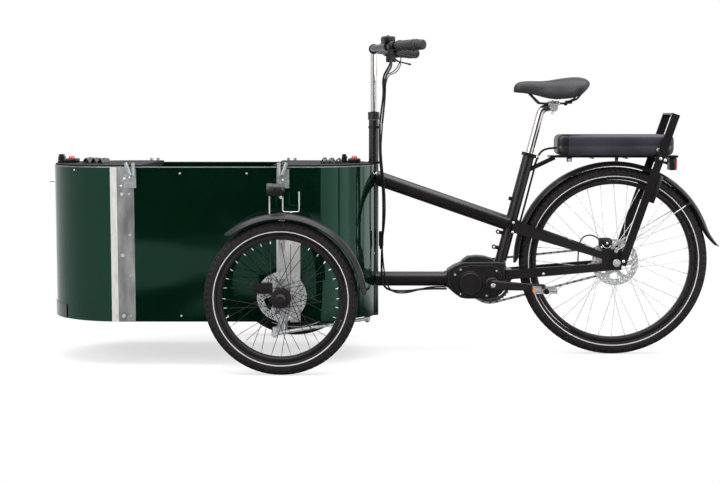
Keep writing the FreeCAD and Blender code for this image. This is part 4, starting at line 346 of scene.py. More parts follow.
RUBBER = finish("tyre_rubber", (0.0066, 0.0046, 0.0052), (0.0140, 0.0104, 0.0114), (0.60, 0.78),
                scale=70, grain=1600, depth=0.0002, spec=0.2)
GRIP = finish("grip_rubber", (0.014, 0.014, 0.016), (0.026, 0.026, 0.029), (0.50, 0.66),
              scale=90, grain=2200, depth=0.00012, spec=0.35)
CABLE = finish("cable_jacket", (0.004, 0.004, 0.0045), (0.009, 0.009, 0.0095), (0.42, 0.56),
               grain=1800, depth=0.00004, spec=0.25)
BOARD = finish("board", (0.0035, 0.0035, 0.0035), (0.0075, 0.0072, 0.0070), (0.50, 0.66),
               scale=18, grain=700, depth=0.0001, stretch=(1, 9, 9), spec=0.12)
FLOOR_WOOD = finish("floor_wood", (0.018, 0.015, 0.012), (0.045, 0.038, 0.030), (0.45, 0.65),
                    scale=14, grain=500, depth=0.0002, stretch=(1, 10, 10))
RED = finish("red_button", (0.45, 0.012, 0.012), (0.60, 0.022, 0.020), (0.20, 0.30), depth=0.00003, coat=0.5)
AMBER = finish("amber_reflector", (0.75, 0.20, 0.01), (0.95, 0.33, 0.03), (0.12, 0.22),
               scale=180, grain=700, depth=0.0003, coat=0.6)
STRIPE = finish("reflective_stripe", (0.34, 0.35, 0.36), (0.46, 0.47, 0.48), (0.30, 0.45),
                scale=300, grain=1800)
LENS = finish("red_lens", (0.30, 0.008, 0.009), (0.55, 0.016, 0.016), (0.08, 0.16),
              scale=120, grain=500, depth=0.0004, coat=1.0)
CLEAR = finish("lamp_glass", (0.55, 0.57, 0.60), (0.80, 0.82, 0.84), (0.05, 0.12), 0.4,
               scale=120, grain=420, depth=0.0004, coat=1.0)
BATTERY = finish("battery_shell", (0.0165, 0.0150, 0.0220), (0.0265, 0.0248, 0.0350), (0.33, 0.43),
                 scale=10, grain=2600, depth=0.00004, spec=0.42, sheen=(0.94, 0.92, 1, 1))


def leather():
    shader = Shader("saddle_leather")
    cells = shader.add("TexVoronoi", Scale=520.0)
    shader.join(shader.place, cells.inputs["Vector"])
    broad = shader.noise(22, 5.0)
    shader.bump(cells.outputs["Distance"], 0.00018, 0.7)
    shader.feed(Base_Color=shader.ramp(broad, (0.0115, 0.0100, 0.0125), (0.0205, 0.0185, 0.0225)),
                Roughness=shader.spread(broad, 0.36, 0.52), Specular_IOR_Level=0.3)
    return shader.material


def webbing():
    shader = Shader("webbing")
    weave = shader.add("TexWave", Scale=420.0, Distortion=0.6)
    shader.join(shader.place, weave.inputs["Vector"])
    shader.bump(weave.outputs["Fac"], 0.0003)
    shader.feed(Base_Color=shader.ramp(weave.outputs["Fac"], (0.006, 0.006, 0.006), (0.028, 0.028, 0.028)),
                Roughness=shader.spread(shader.noise(300), 0.6, 0.85), Sheen_Weight=0.3)
    return shader.material


LEATHER = leather()
WEBBING = webbing()

# Finishes of the CAD nodes that are shown as they are
CARRIED = (
    (COLUMN, ("column_tube",)),
    (FRAME_BLACK, ("top_tube", "lower_tube", "seat_tube", "rear_stays", "base_frame")),
    (FRAME_BLACK, ("handlebar", "rack_rail", "carrier_hoop")),
    (GREEN, ("front_panel", "side_panels", "rear_panels")),
    (STRIP, ("seam_strips",)),
    (FLOOR_WOOD, ("floor_board",)),
    (BOARD, ("end_boards",)),
    (BRACKET, ("canopy_brackets",)),
    (FITTINGS, ("box_fasteners",)),
    (BLACK_ALLOY, ("steering_shaft", "seat_collar")),
    (STEM, ("stem",)),
    (ZINC, ("left_tie_rod", "right_tie_rod")),
    (KNUCKLE, ("left_knuckle", "right_knuckle")),
    (CHROME, ("seat_clamp_lever",)),
)
for material, names in CARRIED:
    for name in names:
        nodes[name].data.materials.clear()
        nodes[name].data.materials.append(material)

# Mesh building


def round_section(place, first, second, radius, sides):
    """A ring of points about a place, in the plane of two directions."""
    return [place + (first * math.cos(t) + second * math.sin(t)) * radius for t in turns(sides)]


class Form:
    """Vertices and faces of one piece, gathered from simple shapes. A mark picks the material."""

    def __init__(self):
        self.verts = []
        self.faces = []
        self.marks = []

    def add(self, verts, faces, mark=0):
        base = len(self.verts)
        self.verts += [tuple(v) for v in verts]
        self.faces += [tuple(base + i for i in face) for face in faces]
        self.marks += [mark] * len(faces)

    def surface(self, rings, close_rings=False, close_points=True, caps=False, mark=0, mark_at=None):
        """A skin over rings of points. mark_at picks a mark by place along the ring."""
        count = len(rings[0])
        base = len(self.verts)
        self.verts += [tuple(p) for ring in rings for p in ring]
        for r in range(len(rings) if close_rings else len(rings) - 1):
            here = base + r * count
            after = base + (r + 1) % len(rings) * count
            for p in range(count if close_points else count - 1):
                q = (p + 1) % count
                self.faces.append((here + p, here + q, after + q, after + p))
                self.marks.append(mark_at(p) if mark_at else mark)
        if caps:
            last = base + (len(rings) - 1) * count
            self.faces.append(tuple(base + p for p in reversed(range(count))))
            self.faces.append(tuple(last + p for p in range(count)))
            self.marks += [mark, mark]

    def lathe(self, centre, profile, count=96, axis=ACROSS, mark=0, closed=True):
        """profile is (radius, place along the axis) pairs turned about the axis."""
        first = axis.orthogonal().normalized()
        second = axis.cross(first).normalized()
        rings = []
        for turn in turns(count):
            out = first * math.cos(turn) + second * math.sin(turn)
            rings.append([centre + out * radius + axis * place for radius, place in profile])
        self.surface(rings, True, closed, mark=mark)

    def rod(self, start, end, radius, sides=10, mark=0, end_radius=None):
        start, end = Vector(start), Vector(end)
        along = (end - start).normalized()
        first = along.orthogonal().normalized()
        second = along.cross(first)
        rings = []
        for place, size in ((start, radius), (end, end_radius or radius)):
            rings.append(round_section(place, first, second, size, sides))
        self.surface(rings, caps=True, mark=mark)

    def pipe(self, path, radius, sides=12, mark=0):
        """A round bar along a sampled path, closed at both ends."""
        path = [Vector(p) for p in path]
        heading = (path[1] - path[0]).normalized()
        first = heading.orthogonal().normalized()
        rings = []
        for index, place in enumerate(path):
            before = path[max(index - 1, 0)]
            after = path[min(index + 1, len(path) - 1)]
            along = (after - before).normalized()
            first = (first - along * first.dot(along)).normalized()
            second = along.cross(first)
            rings.append(round_section(place, first, second, radius, sides))
        self.surface(rings, caps=True, mark=mark)

    def block(self, centre, size, basis=None, bevel=0.0, segments=2, mark=0):
        edit = bmesh.new()
        bmesh.ops.create_cube(edit, size=1.0)
        bmesh.ops.scale(edit, vec=Vector(size), verts=edit.verts)
        if bevel:
            bmesh.ops.bevel(edit, geom=edit.edges[:], offset=bevel, segments=segments, profile=0.5,
                            affect="EDGES")
        turn = (basis or Matrix.Identity(3)).to_4x4()
        edit.transform(Matrix.Translation(Vector(centre)) @ turn)
        edit.verts.index_update()
        self.add([v.co for v in edit.verts], [[v.index for v in f.verts] for f in edit.faces], mark)
        edit.free()

    def plate(self, outlines, thickness, place, edge=0.0, mark=0):
        """A flat plate whose inner outlines are holes. place carries its X and Y to the object."""
        curve = bpy.data.curves.new("outline", "CURVE")
        curve.dimensions = "2D"
        curve.fill_mode = "BOTH"
        curve.extrude = thickness / 2 - edge
        curve.bevel_depth = edge
        curve.offset = -edge
        for outline in outlines:
            spline = curve.splines.new("POLY")
            spline.points.add(len(outline) - 1)
            spline.use_cyclic_u = True
            for point, (x, y) in zip(spline.points, outline):
                point.co = (x, y, 0, 1)
        carrier = bpy.data.objects.new("outline", curve)
        flat = bpy.data.meshes.new_from_object(carrier)
        self.add([place @ v.co for v in flat.vertices], [list(f.vertices) for f in flat.polygons], mark)
        bpy.data.objects.remove(carrier)
        bpy.data.curves.remove(curve)
        bpy.data.meshes.remove(flat)

    def bolt_head(self, place, out, radius, mark=0):
        """A low domed head that stands on a surface."""
        dome = [(0.0, 0.60), (0.45, 0.58), (0.80, 0.46), (0.97, 0.24), (1.0, 0.0), (1.0, -0.2)]
        profile = [(radius * share, radius * height) for share, height in dome]
        self.lathe(Vector(place), profile, 20, out, mark, closed=False)

    def piece(self, name, body, slot, *materials, replaces=None, angle=35, subdivide=0):
        """The finished piece, riding on its body and shown in place of the node that it replaces."""
        mesh = bpy.data.meshes.new(name)
        mesh.from_pydata(self.verts, [], self.faces)
        for material in materials:
            mesh.materials.append(material)
        mesh.polygons.foreach_set("material_index", self.marks)
        edit = bmesh.new()
        edit.from_mesh(mesh)
        bmesh.ops.recalc_face_normals(edit, faces=edit.faces)
        edit.to_mesh(mesh)
        edit.free()
        mesh.shade_smooth()
        mesh.set_sharp_from_angle(angle=math.radians(angle))
        made = bpy.data.objects.new(name, mesh)
        bpy.context.collection.objects.link(made)
        if subdivide:
            fine = made.modifiers.new("fine", "SUBSURF")
            fine.levels = subdivide
            fine.render_levels = subdivide
        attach(made, body)
        if replaces:
            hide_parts(replaces)
        return made


# Wheels

BLOCK_STEPS = 6
TREAD = 0.0012
STRIPE_DEGREE = 109
SPOKES = 36
SPOKE_RADIUS = 0.001


def tread_height(degrees, step):
    """Raised blocks over the crown and the shoulders of a tyre."""
    if degrees < 12:
        return TREAD if step % BLOCK_STEPS else 0.0004
    if 18 <= degrees <= 34:
        return TREAD if (step + 2) % BLOCK_STEPS else 0.0
    if 39 <= degrees <= 67:
        return TREAD if (step + 4) % BLOCK_STEPS > 1 else -0.0016
    return 0.0


def make_tyre(name, centre, radius, bead, blocks):
    """A tyre with tread blocks, and a reflective stripe on each wall."""
    ring = radius - TYRE_HALF
    end = math.degrees(math.acos((bead + 0.0003 - ring) / TYRE_HALF))
    half = [0, 6, 11, 13, 17, 19, 26, 33, 35, 38, 40, 47, 55, 58, 66, 75, 84, 93, 102]
    half += [STRIPE_DEGREE, 117.5, 125, 134, end]
    degrees = [-d for d in reversed(half[1:])] + half
    rings = []
    for step, turn in enumerate(turns(blocks * BLOCK_STEPS)):
        out = upright(1, turn)
        row = []
        for degree in degrees:
            size = TYRE_HALF - TREAD + tread_height(abs(degree), step)
            angle = math.radians(degree)
            row.append(centre + out * (ring + size * math.cos(angle)) + ACROSS * size * math.sin(angle))
        rings.append(row)
    pairs = zip(degrees, degrees[1:])
    stripe = {i for i, (a, b) in enumerate(pairs) if min(abs(a), abs(b)) == STRIPE_DEGREE}
    form = Form()
    form.surface(rings, True, False, mark_at=lambda p: 1 if p in stripe else 0)
    form.piece(name + "_tyre_tread", name + "_wheel", "tyre", RUBBER, STRIPE,
               replaces=name + "_tyre", angle=30)


def make_rim(name, centre, bead):
    deep = bead - 0.015
    wall = [(bead, -0.0135), (bead - 0.0015, -0.0138), (bead - 0.009, -0.0135)]
    wall += [(deep + 0.0015, -0.009), (deep, -0.0065)]
    well = [(bead, 0.0118), (bead - 0.006, 0.0112), (bead - 0.008, 0.0)]
    well += [(bead - 0.006, -0.0112), (bead, -0.0118)]
    form = Form()
    form.lathe(centre, both_ways(wall) + well, 128)
    form.piece(name + "_rim_profile", name + "_wheel", "rim_black", BLACK_ALLOY,
               replaces=name + "_rim", angle=25)


def make_spokes(name, centre, bead, flange, material, replaces=None):
    """Laced spokes with a bend at the hub end and a nipple at the rim."""
    form = Form()
    for index, angle in enumerate(turns(SPOKES)):
        side = 1 if index % 2 else -1
        lean = 1 if index // 2 % 2 else -1
        hub_angle = angle + lean * math.radians(62)
        hub = centre + upright(0.0313, hub_angle, side * (flange + lean * 0.0026))
        rim = centre + upright(bead - 0.0153, angle, side * 0.0034)
        eye = centre + upright(0.027, hub_angle, side * flange)
        along = (rim - hub).normalized()
        form.rod(hub, rim, SPOKE_RADIUS, 8)
        form.rod(rim - along * 0.011, rim - along * 0.002, 0.0016, 8, 1, 0.0019)
        form.rod(eye, hub, SPOKE_RADIUS, 8)
        form.rod(eye - ACROSS * 0.0026, eye + ACROSS * 0.0026, 0.0016, 8)
    form.piece(name + "_laced_spokes", name + "_wheel", "spoke_steel", material, STEEL,
               replaces=replaces, angle=50)


def arc(start, radius, first, sweep, steps):
    """Points on an arc, its angles in degrees counted from a start in radians."""
    return [polar(radius, start + math.radians(first + sweep * step / steps)) for step in range(steps + 1)]


def arm_windows(arms, outer, inner):
    """Openings between the arms of a wheel. outer and inner are (radius, first degree, sweep)."""
    return [arc(start, *outer, 8) + arc(start, *inner, 4)[::-1] for start in turns(arms)]


def make_disc(name, wheel, place):
    """A brake disc with windows and three rows of holes."""
    outlines = [circle(DISC_RADIUS, 96), circle(0.011, 32)]
    outlines += arm_windows(6, (0.058, 9, 42), (0.027, -8, 34))
    for row, (distance, size) in enumerate(((0.0645, 0.0026), (0.0705, 0.0022), (0.0758, 0.0017))):
        for hole in range(24):
            turn = 2 * math.pi * (hole + row * 0.33) / 24
            outlines.append(circle(size, 12, *polar(distance, turn)))
    form = Form()
    form.plate(outlines, 0.002, upright_plane(place), 0.0003)
    form.piece(name + "_brake_disc", wheel, "hub", STEEL, angle=30)


def make_front_hub(name, side):
    centre = front_centre(side)
    inward = ACROSS * -side
    cap = [(0.0, -0.036), (0.011, -0.036), (0.0125, -0.0345), (0.0145, -0.033), (0.017, -0.031)]
    cap += [(0.017, -0.0235), (0.030, -0.0225)]
    flange = [(0.031, -0.021), (0.031, -0.019), (0.030, -0.018), (0.019, -0.016), (0.0165, -0.010)]
    inner = [(0.030, 0.022), (0.018, 0.0235), (0.017, 0.025), (0.017, 0.038), (0.0085, 0.038)]
    form = Form()
    form.lathe(centre, cap + both_ways(flange) + inner, 64, inward, closed=False)
    for turn in turns(6):
        spot = centre + upright(0.022, turn)
        form.rod(spot + inward * 0.0395, spot + inward * 0.0407, 0.0036, 10, 1)
    form.piece(name + "_hub_shell", name + "_front_wheel", "hub", BLACK_ALLOY, ZINC,
               replaces=name + "_front_hub", angle=30)
    make_disc(name, name + "_front_wheel", centre + inward * 0.039)


def make_rear_hub():
    left = [(0.0055, -0.050), (0.017, -0.050), (0.017, -0.034), (0.030, -0.033)]
    flange = [(0.031, -0.031), (0.031, -0.029), (0.030, -0.028), (0.021, -0.025), (0.018, -0.016)]
    right = [(0.030, 0.032), (0.018, 0.034), (0.017, 0.038), (0.0055, 0.038)]
    form = Form()
    form.lathe(REAR_AXLE, left + both_ways(flange) + right, 64, closed=False)
    form.piece("rear_hub_shell", "rear_wheel", "hub", ALLOY, replaces="rear_hub", angle=30)
    make_disc("rear", "rear_wheel", REAR_AXLE - ACROSS * 0.051)


def make_wheels():
    for name, side in SIDES.items():
        wheel = name + "_front"
        make_tyre(wheel, front_centre(side), FRONT_RADIUS, FRONT_BEAD, 78)
        make_rim(wheel, front_centre(side), FRONT_BEAD)
        make_spokes(wheel, front_centre(side), FRONT_BEAD, 0.020, BLACK_ALLOY)
        make_front_hub(name, side)
    make_tyre("rear", REAR_AXLE, REAR_RADIUS, REAR_BEAD, 102)
    make_rim("rear", REAR_AXLE, REAR_BEAD)
    make_spokes("rear", REAR_AXLE, REAR_BEAD, 0.030, STEEL, "rear_spokes")
    make_rear_hub()


# Mudguards and lamps

GUARD_THICKNESS = 0.0026
REAR_GUARD_CROWN = 0.345
REAR_GUARD_HALF = 0.030
REAR_GUARD_DROP = 0.0135
REAR_GUARD_START = 22
FLAP_LENGTH = 0.088
FLAP_STEPS = 14


def guard_section(half, crown, drop):
    """Offsets (across, outward) round a domed strip with turned-down edges."""
    shares = [-1, -0.97, -0.88, -0.72, -0.5, -0.25, 0, 0.25, 0.5, 0.72, 0.88, 0.97, 1]
    outer = [(half * s, crown - drop * abs(s) ** 2.4) for s in shares]
    inner = [(half * s * 0.94, crown - GUARD_THICKNESS - drop * abs(s) ** 2.4) for s in reversed(shares)]
    return outer + inner


def end_taper(share, length):
    """Narrows a strip over a length at both of its ends."""
    near = min(share, 1 - share) / length
    return 1.0 if near >= 1 else 0.55 + 0.45 * math.sqrt(max(0.0, 1 - (1 - near) ** 2))


def arc_guard(form, centre, crown, start, sweep, half, drop, taper, flap=()):
    """A strip on an arc. Where a flap is given, the strip runs on from it at full width."""
    rings = []
    steps = 56
    for step in range(steps + 1):
        share = step / steps
        out = upright(1, math.radians(start + sweep * share))
        narrow = end_taper(max(share, 0.5) if flap else share, taper)
        section = guard_section(half * narrow, crown, drop * narrow ** 2)
        rings.append([centre + out * reach + ACROSS * across for across, reach in section])
    form.surface(list(flap) + rings, caps=True)


def make_front_guard(name, side):
    form = Form()
    arc_guard(form, front_centre(side), 0.273, 3, 128, 0.030, 0.0165, 0.06)
    form.piece(name + "_guard_shell", name + "_knuckle", "guard_plastic", GUARD,
               replaces=name + "_front_mudguard", angle=50)


def make_lamp(name, side):
    form = Form()
    forward = Vector((-1, 0, 0))
    back = Vector((-0.321, front_centre(side).y, 0.594))
    case = [(0.0, 0.0), (0.0105, 0.0), (0.0125, 0.0015), (0.0150, 0.006), (0.0168, 0.010), (0.0172, 0.0155)]
    case += [(0.0180, 0.0160), (0.0180, 0.0190), (0.0188, 0.0195), (0.0192, 0.037), (0.0205, 0.0385)]
    case += [(0.0205, 0.0545), (0.0198, 0.056), (0.0180, 0.056), (0.0176, 0.0535)]
    form.lathe(back, case, 48, forward, closed=False)
    glass = [(0.0178, 0.0535), (0.0150, 0.0548), (0.0090, 0.0557), (0.0, 0.0560)]
    form.lathe(back, glass, 48, forward, mark=1, closed=False)
    form.block(back + Vector((-0.013, 0, -0.0205)), (0.017, 0.012, 0.012), bevel=0.0018)
    pin = back + Vector((-0.011, 0, -0.024))
    form.rod(pin - ACROSS * 0.010, pin + ACROSS * 0.010, 0.0048, 12, 2)
    form.piece(name + "_lamp", name + "_knuckle", "black_plastic", CASE, CLEAR, ZINC, angle=30)


def make_lamp_wires(name, side):
    form = Form()
    y = front_centre(side).y
    loop = [(-0.327, y, 0.5732), (-0.327, y, 0.5232), (-0.275, y, 0.5232), (-0.275, y, 0.588)]
    form.pipe(rounded(loop, 0.006), 0.0021, 10)
    form.pipe([(-0.369, y, 0.517), (-0.369, y, 0.576)], 0.0024, 10)
    form.rod((-0.301, y, 0.5205), (-0.301, y, 0.5256), 0.0050, 6)
    form.piece(name + "_lamp_wires", name + "_knuckle", "spoke_steel", ALLOY, angle=40)


def rear_flap(out):
    """Rings of the flap that hangs on from the lower end of the rear mudguard."""
    down = Vector((out.z, 0, -out.x))
    place = REAR_AXLE + out * REAR_GUARD_CROWN
    flap = []
    for step in range(1, FLAP_STEPS + 1):
        share = step / FLAP_STEPS
        heading = Matrix.Rotation(math.radians(-26 * share + 5), 3, "Y") @ down
        place = place + heading * (FLAP_LENGTH / FLAP_STEPS)
        away = heading.cross(ACROSS)
        if away.dot(out) < 0:
            away = -away
        narrow = 1.0 - 0.28 * share ** 2.5
        section = guard_section(REAR_GUARD_HALF * narrow, 0.0, REAR_GUARD_DROP * (1 - 0.75 * share))
        flap.append([place + away * reach + ACROSS * across for across, reach in section])
    return list(reversed(flap))


def make_rear_guard():
    form = Form()
    flap = rear_flap(upright(1, math.radians(REAR_GUARD_START)))
    arc_guard(form, REAR_AXLE, REAR_GUARD_CROWN, REAR_GUARD_START, 159, REAR_GUARD_HALF, REAR_GUARD_DROP,
              0.03, flap)
    form.piece("rear_guard_shell", "frame", "guard_plastic", GUARD, replaces="rear_mudguard", angle=50)


def make_rear_guard_wires():
    form = Form()
    for side in SIDES.values():
        foot = REAR_AXLE + Vector((0, side * 0.0708, 0.040))
        head = REAR_AXLE + upright(0.334, math.radians(38), side * 0.0275)
        along = (head - foot).normalized()
        form.pipe([foot, head], 0.0019, 10)
        form.lathe(foot, both_ways([(0.0032, -0.0025), (0.0060, -0.0025)]), 20)
        form.rod(foot - ACROSS * 0.0045, foot + ACROSS * 0.0045, 0.0034, 6)
        basis = axes(along, ACROSS, along.cross(ACROSS))
        form.block(head - along * 0.010, (0.026, 0.007, 0.010), basis, 0.0015, mark=1)
    form.piece("rear_guard_wires", "frame", "spoke_steel", STEEL, PLASTIC, angle=40)


# Seat

SADDLE_NOSE_X = 0.443
SADDLE_LENGTH = 0.255
SADDLE_LOW = 0.881


def make_saddle():
    """A crowned cover lofted over rows of (share of the length, half width, low, high)."""
    rows = [
        (0.000, 0.010, 0.029, 0.040), (0.012, 0.020, 0.026, 0.050), (0.040, 0.026, 0.025, 0.058),
        (0.090, 0.030, 0.024, 0.0640), (0.210, 0.033, 0.021, 0.0655), (0.320, 0.036, 0.0155, 0.0645),
        (0.430, 0.045, 0.007, 0.0655), (0.550, 0.064, 0.0015, 0.0705), (0.660, 0.086, 0.0005, 0.0755),
        (0.790, 0.103, 0.005, 0.0790), (0.880, 0.105, 0.018, 0.0785), (0.950, 0.093, 0.036, 0.0730),
        (0.985, 0.072, 0.047, 0.0660), (1.000, 0.045, 0.052, 0.0600),
    ]
    section = [(0.0, 1.0), (0.30, 0.985), (0.56, 0.93), (0.78, 0.80), (0.93, 0.58), (1.0, 0.34)]
    section += [(0.97, 0.13), (0.90, 0.0), (0.82, 0.04), (0.5, 0.16), (0.0, 0.20)]
    section += [(-across, rise) for across, rise in reversed(section[1:-1])]
    rings = []
    for share, width, low, high in rows:
        x = SADDLE_NOSE_X + SADDLE_LENGTH * share
        rings.append([Vector((x, width * a, SADDLE_LOW + low + (high - low) * b)) for a, b in section])
    form = Form()
    form.surface(rings, caps=True)
    made = form.piece("saddle_cover", "seat", "saddle", LEATHER, replaces="saddle", angle=80, subdivide=2)


def make_seat_post():
    form = Form()
    low = SEAT_TOP - SEAT_AXIS * 0.150
    elbow = SEAT_TOP + SEAT_AXIS * 0.158
    end = Vector((0.592, 0, elbow.z + 0.010))
    form.pipe(rounded([low, elbow, end], 0.030, 10), 0.0136, 32)
    form.piece("bent_seat_post", "seat", "chrome", CHROME, replaces="seat_post", angle=40)


def make_saddle_clamp():
    form = Form()
    middle = Vector((0.580, 0, 0.8655))
    cradle = both_ways([(0.0, -0.026), (0.0125, -0.026), (0.0140, -0.024)])
    form.lathe(middle - UP * 0.010, cradle, 32, closed=False)
    form.block(middle + UP * 0.0015, (0.040, 0.054, 0.009), bevel=0.0025)
    form.block(middle + UP * 0.0095, (0.034, 0.052, 0.006), bevel=0.002)
    head = middle + Vector((-0.002, 0, -0.033))
    form.rod(head, middle + Vector((-0.002, 0, 0.015)), 0.0036, 12, 1)
    form.rod(head, middle + Vector((-0.002, 0, -0.026)), 0.0062, 6, 1)
    form.piece("saddle_clamp", "seat", "chrome", ALLOY, STEEL, angle=30)


def make_saddle_rails():
    form = Form()
    route = [(0.492, 0.010, 0.908), (0.507, 0.014, 0.893), (0.530, 0.021, 0.870), (0.545, 0.0222, 0.8693)]
    route += [(0.620, 0.0222, 0.8693), (0.655, 0.038, 0.884), (0.672, 0.044, 0.905)]
    for side in SIDES.values():
        form.pipe(rounded([(x, side * y, z) for x, y, z in route], 0.010), 0.0034, 12)
    form.block((0.632, 0, 0.8735), (0.020, 0.050, 0.011), bevel=0.002)
    form.rod((0.622, -0.006, 0.8675), (0.622, 0.006, 0.8675), 0.006, 12)
    form.piece("saddle_rails", "seat", "frame_black", BLACK_ALLOY, angle=40)


# Handlebar fittings

POD_REACH = 0.045
LEVER_DROP = 0.0234
LEVER_LENGTH = 0.100
GRIP_RIBS = 13
RAISED_RIBS = (3, 5)


def bar_knee(side):
    return Vector((0.024, side * 0.240, BAR_Z))


def bar_tip(side):
    return Vector((0.119, side * 0.324, BAR_Z))


def make_grips():
    profile = [(0.0, 0.0), (0.0130, 0.0), (0.0150, 0.0012), (0.0162, 0.0035)]
    for rib in range(GRIP_RIBS):
        base = 0.0060 + rib * 0.0066
        swell = 0.0158 + 0.0016 * math.sin(math.pi * (rib + 1) / (GRIP_RIBS + 1))
        swell += 0.0013 if rib in RAISED_RIBS else 0.0
        profile += [(swell, base), (swell + 0.0004, base + 0.0006), (swell + 0.0004, base + 0.0044)]
        profile += [(swell, base + 0.0050), (swell - 0.0008, base + 0.0056)]
    profile += [(0.0162, 0.0930), (0.0178, 0.0950), (0.0180, 0.0975), (0.0180, 0.1045)]
    profile += [(0.0170, 0.1065), (0.0150, 0.1080), (0.0116, 0.1080)]
    form = Form()
    for side in SIDES.values():
        along = (bar_knee(side) - bar_tip(side)).normalized()
        form.lathe(bar_tip(side) - along * 0.0033, profile, 40, along, closed=False)
    form.piece("ribbed_grips", "steering", "grip", GRIP, replaces="grips")


def grip_heading(side):
    return (bar_tip(side) - bar_knee(side)).normalized()


def pod_heading(side):
    return (Vector((COLUMN_X, side * 0.070, BAR_Z)) - bar_knee(side)).normalized()


def make_controls():
    form = Form()
    lever_band = both_ways([(0.0114, -0.008), (0.0150, -0.008), (0.0162, -0.006)])
    pod_band = both_ways([(0.0114, -0.007), (0.0148, -0.007), (0.0156, -0.005)])
    for side in SIDES.values():
        knee, along, inward = bar_knee(side), grip_heading(side), pod_heading(side)
        across = UP.cross(along)
        basis = axes(along, across, UP)
        pivot = knee - UP * LEVER_DROP
        for cheek in BOTH:
            form.block(pivot + across * cheek * 0.0111, (0.024, 0.0076, 0.023), basis, 0.003)
        form.block(pivot - along * 0.0085 + UP * 0.0035, (0.0070, 0.028, 0.016), basis, 0.002)
        form.lathe(knee, lever_band, 28, along)
        pod_across = UP.cross(inward)
        pod_basis = axes(inward, pod_across, UP)
        middle = knee + inward * POD_REACH + UP * 0.0224
        form.block(middle, (0.046, 0.038, 0.0215), pod_basis, 0.0065, 3)
        key = middle + UP * 0.0108 + inward * 0.013
        form.block(key, (0.014, 0.022, 0.0022), pod_basis, 0.0008, 1, mark=1)
        form.lathe(knee + inward * POD_REACH, pod_band, 28, inward)
        for bolt in (-0.012, 0.012):
            place = middle + inward * bolt - pod_across * 0.0185
            form.rod(place, place - pod_across * 0.0012, 0.0024, 10, 2)
    form.piece("control_pods", "steering", "black_plastic", PLASTIC, CASE, ZINC, replaces="controls")


def make_assist_button():
    side = SIDES["left"]
    top = bar_knee(side) + pod_heading(side) * POD_REACH + UP * 0.0330
    dome = [(0.0, 0.0052), (0.0025, 0.0050), (0.0042, 0.0042), (0.0050, 0.0028)]
    dome += [(0.0050, -0.0028), (0.0, -0.0028)]
    form = Form()
    form.lathe(top, dome, 28, UP, closed=False)
    form.piece("assist_dome", "assist_button", "red_button", RED, replaces="assist_button", angle=40)


def squared(value):
    """Fills out a circle's sine or cosine towards a square with soft corners."""
    return math.copysign(abs(value) ** 0.7, value)


def make_brake_lever(name, side):
    """A blade lofted over rows of (share of the length, width, thickness, lift)."""
    rows = [(0.0, 0.0130, 0.0075, 0.0), (0.10, 0.0128, 0.0070, 0.0), (0.25, 0.0120, 0.0050, -0.0006)]
    rows += [(0.50, 0.0132, 0.0046, -0.0012), (0.72, 0.0132, 0.0046, -0.0004), (0.86, 0.0112, 0.0056, 0.0)]
    rows += [(0.94, 0.0116, 0.0074, 0.0), (0.985, 0.0090, 0.0062, 0.0)]
    along = grip_heading(side)
    across = UP.cross(along)
    pivot = bar_knee(side) - UP * LEVER_DROP
    tilt = Matrix.Rotation(math.radians(10), 3, across)
    blade = tilt @ along
    rise = tilt @ UP
    rings = []
    for share, width, thick, lift in rows:
        centre = pivot + blade * LEVER_LENGTH * share + rise * lift
        ring = []
        for x, y in circle(1, 16):
            ring.append(centre + across * width / 2 * squared(x) + rise * thick / 2 * squared(y))
        rings.append(ring)
    form = Form()
    form.surface(rings, caps=True)
    form.rod(pivot - across * 0.0148, pivot + across * 0.0148, 0.0028, 14, 1)
    form.piece(name + "_lever_blade", name + "_brake_lever", "bar_black", BLACK_ALLOY, STEEL,
               replaces=name + "_brake_lever", angle=45)


# Harness on the end boards

STRAP_STEPS = 48
STRAP_HALF = 0.0165
STRAP_HALF_THICK = 0.0009


def strap_route(start_x, lean, strap):
    """A strap folded into three humps, each strap a little unlike the next."""
    shift = 0.004 * math.sin(1.7 * strap + lean)
    route = []
    for step in range(STRAP_STEPS + 1):
        share = step / STRAP_STEPS
        hump = math.sin(math.pi * 3 * share) ** 2 * (0.0158 - 0.003 * share - 0.0022 * (strap % 2))
        x = start_x + 0.002 + 0.074 * share + shift * math.sin(math.pi * share)
        y = -0.057 + 0.038 * strap + 0.003 * math.sin(5 * share + strap)
        route.append(Vector((x, y, BOARD_TOP + 0.0006 + 0.0012 + hump)))
    return route


def make_webbing():
    form = Form()
    half = ACROSS * STRAP_HALF
    for start_x, lean in ((-1.036, 1), (-0.222, -1)):
        for strap in range(4):
            route = strap_route(start_x, lean, strap)
            rings = []
            for index, place in enumerate(route):
                run = (route[min(index + 1, STRAP_STEPS)] - route[max(index - 1, 0)]).normalized()
                normal = run.cross(ACROSS).normalized() * (-1 if run.cross(ACROSS).z < 0 else 1)
                low = place - normal * STRAP_HALF_THICK
                high = place + normal * STRAP_HALF_THICK
                rings.append([low - half, low + half, high + half, high - half])
            form.surface(rings, caps=True)
    form.piece("folded_webbing", "frame", "webbing", WEBBING, replaces="harness", angle=50)


